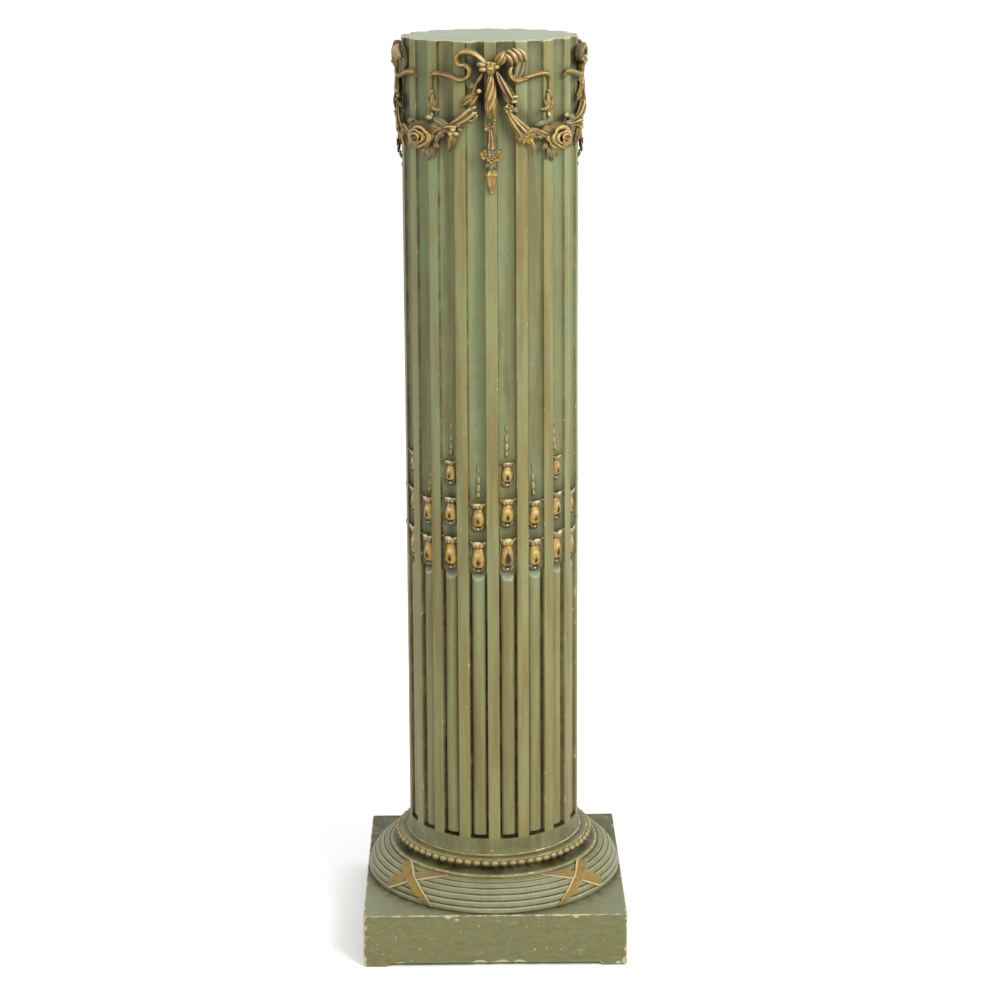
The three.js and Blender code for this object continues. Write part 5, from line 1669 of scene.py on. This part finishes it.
def painted_wood(name, colours, wear=0.3, grime_and_shade=0.8, wash=0.5, crackle=0.4, streak_length=16.0,
                 shade=1.0, crest_highlight=0.3, flaking=0.0, patches=0.45, scuffs=0.0):
    """Old green paint with a brown glaze, with a painted highlight on its crests, grime and painted
    shade in its hollows, and a cream ground and bare wood where its edges are rubbed."""
    material, wires, shader, vector, marks = begin_material(name)
    if not wires:
        return material
    shared = groups()

    def tinted(colour, *times):
        return tuple(c * shade * k for c, k in zip(colour, times or (1.0, 1.0, 1.0)))

    streaks = wires.use(shared["upright_streaks"], Vector=vector, Length=streak_length)
    film = wires.use(shared["old_paint_film"], Vector=vector, Crackle=crackle, Flaking=flaking)
    worn = wires.use(shared["worn_edges"], Vector=vector, Edge=marks["edge"], Amount=wear, Scale=60.0)
    darkened = wires.use(shared["painted_shade_and_grime"], Vector=vector, Hollow=marks["hollow"], Amount=grime_and_shade)
    colour = wires.mix(marks["tone"], tinted(colours.fillet_paint), tinted(colours.flute_paint))
    cool = tinted(colours.flute_paint, 0.98, 1.16, 1.3)
    height = wires.place("ShaderNodeSeparateXYZ")
    wires.feed(height.inputs[0], vector)
    cooler = wires.between(height.outputs[2], 0.4, 0.62, 0.4 * patches, patches)
    colour = wires.mix(wires.math("MULTIPLY", streaks["Patch"], cooler), colour, cool)
    # The lighter paint is used for faded streaks and for the painted highlight on crests and lips.
    light = tinted(colours.fillet_paint, 1.6, 1.62, 1.9)
    colour = wires.mix(wires.math("MULTIPLY", streaks["Streak"], 0.28), colour, light)
    # A painted highlight on the crests and lips.
    colour = wires.mix(wires.math("MULTIPLY", marks["edge"], crest_highlight), colour, light)
    thin = wires.between(streaks["Streak"], 0.0, 1.0, 1.0, 0.35)
    tint = wires.math("ADD", streaks["Tint"], wires.between(height.outputs[2], 0.62, 0.3, 0.06, 0.26))
    brown = wires.math("MULTIPLY", thin, wires.math("MULTIPLY", tint, wash))
    colour = wires.mix(brown, colour, tinted(colours.brown_wash))
    # Painted light: the marked places turn to the lighter highlight paint.
    colour = wires.mix(marks["pale"], colour, colours.highlight_paint)
    # Grime and painted shade.
    colour = wires.mix(darkened["Mask"], colour, colours.grime_and_shade)
    colour = wires.mix(wires.math("MULTIPLY", film["Cracks"], 0.6), colour, colours.grime_and_shade)
    colour = wires.mix(wires.math("MULTIPLY", worn["Rubbed"], 0.8), colour, colours.cream_ground_and_highlight)
    colour = wires.mix(worn["Bare"], colour, colours.wood)
    colour = wires.mix(wires.math("MULTIPLY", film["Flakes"], 0.6), colour, colours.cream_ground_and_highlight)
    if scuffs:
        grain = wires.noise(wires.stretched(vector, (0.4, 0.4, 1.5)), 70.0, 5.0, 0.7)
        rubbed = wires.between(grain, 0.615, 0.68, 0.0, scuffs)
        colour = wires.mix(rubbed, colour, tuple(c * 1.35 for c in colours.wood))
    wires.feed(shader.inputs["Base Color"], colour)
    rough = wires.between(streaks["Patch"], 0.0, 1.0, 0.42, 0.56)
    rough = wires.math("ADD", rough, wires.math("MULTIPLY", worn["Rubbed"], 0.2))
    rough = wires.math("ADD", rough, wires.math("MULTIPLY", marks["pale"], 0.3))
    wires.feed(shader.inputs["Roughness"], rough)
    shader.inputs["Specular IOR Level"].default_value = 0.25
    bump = wires.place("ShaderNodeBump")
    bump.inputs["Strength"].default_value = 0.5
    bump.inputs["Distance"].default_value = 0.0005
    surface = wires.free_math("SUBTRACT", film["Height"], wires.free_math("MULTIPLY", worn["Bare"], 0.5))
    wires.feed(bump.inputs["Height"], surface)
    wires.feed(shader.inputs["Normal"], bump.outputs[0])
    return material


def gilded_wood(name, colours, shine=0.45, grime_and_shade=0.95, crest_share=0.5, bright=1.0):
    """Worn gilding: gold that is reddish where it is rubbed and grey where it has tarnished, with
    grime and painted shade in its hollows, and painted highlights and rubbed cream on its crests."""
    material, wires, shader, vector, marks = begin_material(name)
    if not wires:
        return material
    shared = groups()
    worn = wires.use(shared["worn_edges"], Vector=vector, Edge=marks["edge"], Amount=0.46, Scale=150.0)
    darkened = wires.use(shared["painted_shade_and_grime"], Vector=vector, Hollow=marks["hollow"], Amount=grime_and_shade)
    film = wires.use(shared["old_paint_film"], Vector=vector, Crackle=0.3)
    cloud = wires.noise(vector, 75.0, 4.0, 0.65)
    drift = wires.free_math("MULTIPLY", wires.free_math("SUBTRACT", cloud, 0.5), 1.7)
    shift = wires.free_math("ADD", marks["tone"], drift)
    gold = tuple(c * bright for c in colours.gold)
    colour = wires.mix(wires.between(shift, 0.42, 0.2), gold, colours.rose_gold)
    greyed = wires.between(shift, 0.64, 0.88)
    colour = wires.mix(greyed, colour, colours.silver)
    green = wires.between(wires.noise(vector, 120.0, 3.0, 0.6), 0.56, 0.66)
    colour = wires.mix(wires.math("MULTIPLY", green, 0.45), colour, colours.flute_paint)
    brown = wires.between(wires.noise(vector, 160.0, 3.0, 0.6), 0.5, 0.64)
    colour = wires.mix(wires.math("MULTIPLY", brown, 0.55), colour, colours.brown_wash)
    # A painted highlight of bright gold on the crests, broken up by glints.
    highlight_gold = tuple(c * k for c, k in zip(colours.gold, (1.75, 1.8, 2.2)))
    glint = wires.between(wires.noise(vector, 210.0, 3.0, 0.6), 0.4, 0.62, 0.12, 0.85)
    colour = wires.mix(wires.math("MULTIPLY", marks["edge"], glint), colour, highlight_gold)
    crest = tuple(c * k for c, k in zip(colours.cream_ground_and_highlight, (1.2, 1.08, 0.86)))
    colour = wires.mix(wires.math("MULTIPLY", worn["Rubbed"], crest_share), colour, crest)
    # A painted cream highlight where marked, and fading.
    colour = wires.mix(marks["pale"], colour, colours.cream_ground_and_highlight)
    # Grime and painted shade.
    colour = wires.mix(darkened["Mask"], colour, colours.grime_and_shade)
    wires.feed(shader.inputs["Base Color"], colour)
    metal = wires.between(worn["Rubbed"], 0.0, 1.0, shine, shine * 0.4)
    metal = wires.math("SUBTRACT", metal, wires.math("MULTIPLY", darkened["Mask"], 0.4))
    wires.feed(shader.inputs["Metallic"], metal)
    wires.feed(shader.inputs["Roughness"], wires.between(cloud, 0.3, 0.7, 0.34, 0.52))
    shader.inputs["Specular IOR Level"].default_value = 0.2
    bump = wires.place("ShaderNodeBump")
    bump.inputs["Strength"].default_value = 0.4
    bump.inputs["Distance"].default_value = 0.0004
    wires.feed(bump.inputs["Height"], film["Height"])
    wires.feed(shader.inputs["Normal"], bump.outputs[0])
    return material


# Operators


class PEDESTAL_OT_plinth(Operator):
    """Builds the square plinth with its corner pads and chipped edges"""

    bl_idname = "pedestal.plinth"
    bl_label = "Plinth"

    def execute(self, context):
        colours = context.scene.pedestal_colours
        paint = painted_wood("plinth_paint", colours, wear=0.36, grime_and_shade=0.6, wash=0.2, streak_length=0.35,
                             shade=0.74, flaking=0.03, patches=0.5, scuffs=0.6)
        block = plinth_part(context.scene.pedestal_plinth)
        make_piece("plinth_block", block, paint, "green_paint", "plinth")
        return {"FINISHED"}


class PEDESTAL_OT_base(Operator):
    """Builds the base moulding, its beads and its crossed ribbons"""

    bl_idname = "pedestal.base"
    bl_label = "Base moulding"

    def execute(self, context):
        colours = context.scene.pedestal_colours
        sizes = context.scene.pedestal_base
        paint = painted_wood("moulding_paint", colours, wear=0.24, grime_and_shade=0.95, wash=0.45, streak_length=1.0,
                             shade=0.88, crest_highlight=1.0)
        make_piece("reeded_base", base_part(sizes), paint, "green_paint", "base_moulding")
        gilt = gilded_wood("base_gilding", colours, shine=0.25, crest_share=0.35, bright=0.85)
        make_piece("beads_and_ribbons", base_gilding(sizes), gilt, "gilding")
        return {"FINISHED"}


class PEDESTAL_OT_shaft(Operator):
    """Builds the fluted shaft with its cables"""

    bl_idname = "pedestal.shaft"
    bl_label = "Fluted shaft"

    def execute(self, context):
        colours = context.scene.pedestal_colours
        paint = painted_wood("shaft_paint", colours, wear=0.28, grime_and_shade=0.8, wash=0.6, patches=0.7)
        shaft = shaft_part(context.scene.pedestal_shaft)
        make_piece("shaft_body", shaft, paint, "green_paint", "fluted_shaft")
        return {"FINISHED"}


class PEDESTAL_OT_pods(Operator):
    """Builds the gilded seed pods in the flutes"""

    bl_idname = "pedestal.pods"
    bl_label = "Seed pods"

    def execute(self, context):
        gilt = gilded_wood("pod_gilding", context.scene.pedestal_colours, shine=0.4, grime_and_shade=1.0, bright=1.25)
        make_piece("seed_pods", pods_part(context.scene.pedestal_shaft), gilt, "gilding")
        return {"FINISHED"}


class PEDESTAL_OT_bows(Operator):
    """Builds the four ribbon bows with their drops"""

    bl_idname = "pedestal.bows"
    bl_label = "Ribbon bows"

    def execute(self, context):
        scene = context.scene
        gilt = gilded_wood("ornament_gilding", scene.pedestal_colours)
        for index, place in enumerate(PLACES):
            part = bow_part(index, scene.pedestal_ornament, scene.pedestal_shaft)
            make_piece(f"bow_{place}", part, gilt, "gilding", f"ribbon_bow_{place}")
        return {"FINISHED"}


class PEDESTAL_OT_swags(Operator):
    """Builds the four flower swags with their roses"""

    bl_idname = "pedestal.swags"
    bl_label = "Flower swags"

    def execute(self, context):
        scene = context.scene
        gilt = gilded_wood("ornament_gilding", scene.pedestal_colours)
        for index, place in enumerate(PLACES):
            part = swag_part(index, scene.pedestal_ornament, scene.pedestal_shaft)
            make_piece(f"swag_from_{place}", part, gilt, "gilding", f"flower_swag_from_{place}")
        return {"FINISHED"}


def place_light(name, power, size, spot, aim):
    """A square soft light at a spot, turned towards another."""
    lamp = bpy.data.lights.new(name, "AREA")
    lamp.energy = power
    lamp.size = size
    light = bpy.data.objects.new(name, lamp)
    bpy.context.scene.collection.objects.link(light)
    light.location = spot
    way = np.array(spot) - np.array(aim)
    light.rotation_euler = (
        np.arctan2(np.hypot(way[0], way[1]), way[2]), 0.0, np.arctan2(way[0], -way[1])
    )


class PEDESTAL_OT_stage(Operator):
    """Sets up the pale floor, the soft light and the camera"""

    bl_idname = "pedestal.stage"
    bl_label = "Stage"

    def execute(self, context):
        scene = context.scene
        studio = scene.pedestal_studio
        mesh = bpy.data.meshes.new("floor")
        mesh.from_pydata([(-40, -40, 0), (40, -40, 0), (40, 40, 0), (-40, 40, 0)], [], [(0, 1, 2, 3)])
        floor = bpy.data.objects.new("floor", mesh)
        scene.collection.objects.link(floor)
        material = bpy.data.materials.new("pale_floor")
        material.use_nodes = True
        shader = material.node_tree.nodes["Principled BSDF"]
        shader.inputs["Base Color"].default_value = (*studio.floor_colour, 1.0)
        shader.inputs["Roughness"].default_value = 0.9
        mesh.materials.append(material)

        world = bpy.data.worlds.new("white_room")
        world.use_nodes = True
        background = world.node_tree.nodes["Background"]
        background.inputs["Color"].default_value = (1.0, 1.0, 1.0, 1.0)
        background.inputs["Strength"].default_value = studio.surround
        scene.world = world
        middle = (0.0, 0.0, 0.6)
        place_light("key_light", studio.key_power, 1.6, (2.0, -2.4, 2.6), middle)
        place_light("fill_light", studio.fill_power, 2.4, (-2.6, -2.0, 1.5), middle)
        place_light("top_light", studio.fill_power, 1.8, (0.2, 0.9, 3.2), middle)

        lens = bpy.data.cameras.new("camera")
        lens.lens = CAMERA_LENS
        lens.sensor_width = 36.0
        camera = bpy.data.objects.new("camera", lens)
        scene.collection.objects.link(camera)
        turn, tilt, roll = (
            Matrix.Rotation(np.radians(angle), 4, axis) for angle, axis in zip(CAMERA_ANGLES, "ZXZ")
        )
        camera.matrix_world = Matrix.Translation(CAMERA_SPOT) @ turn @ tilt @ roll
        scene.camera = camera
        scene.view_settings.view_transform = "Standard"
        return {"FINISHED"}


class PEDESTAL_PT_panel(Panel):
    """Lists the pieces and the stage, with their sizes and colours"""

    bl_idname = "PEDESTAL_PT_panel"
    bl_label = "Column Pedestal"
    bl_space_type = "VIEW_3D"
    bl_region_type = "UI"
    bl_category = "Pedestal"

    def draw(self, context):
        layout = self.layout
        for operator, settings in LISTED:
            box = layout.box()
            box.operator(operator.bl_idname, text=operator.bl_label)
            if settings:
                group = getattr(context.scene, settings)
                for name in group.__annotations__:
                    box.prop(group, name)
        colours = layout.box()
        for name in FinishColours.__annotations__:
            colours.prop(context.scene.pedestal_colours, name)


LISTED = (
    (PEDESTAL_OT_stage, "pedestal_studio"),
    (PEDESTAL_OT_plinth, "pedestal_plinth"),
    (PEDESTAL_OT_base, "pedestal_base"),
    (PEDESTAL_OT_shaft, "pedestal_shaft"),
    (PEDESTAL_OT_pods, None),
    (PEDESTAL_OT_bows, "pedestal_ornament"),
    (PEDESTAL_OT_swags, None),
)
SETTINGS = {
    "pedestal_plinth": PlinthSizes,
    "pedestal_base": BaseSizes,
    "pedestal_shaft": ShaftSizes,
    "pedestal_ornament": OrnamentSizes,
    "pedestal_colours": FinishColours,
    "pedestal_studio": StudioSettings,
}


def register():
    """Makes the settings, operators and panel known to Blender."""
    for name, group in SETTINGS.items():
        bpy.utils.register_class(group)
        setattr(bpy.types.Scene, name, PointerProperty(type=group))
    for operator, _ in LISTED:
        bpy.utils.register_class(operator)
    bpy.utils.register_class(PEDESTAL_PT_panel)


def unregister():
    """Takes them back."""
    bpy.utils.unregister_class(PEDESTAL_PT_panel)
    for operator, _ in LISTED:
        bpy.utils.unregister_class(operator)
    for name, group in SETTINGS.items():
        delattr(bpy.types.Scene, name)
        bpy.utils.unregister_class(group)


def main():
    """Builds everything in order."""
    register()
    bpy.ops.pedestal.stage()
    bpy.ops.pedestal.plinth()
    bpy.ops.pedestal.base()
    bpy.ops.pedestal.shaft()
    bpy.ops.pedestal.pods()
    bpy.ops.pedestal.bows()
    bpy.ops.pedestal.swags()


if __name__ == "__main__":
    main()
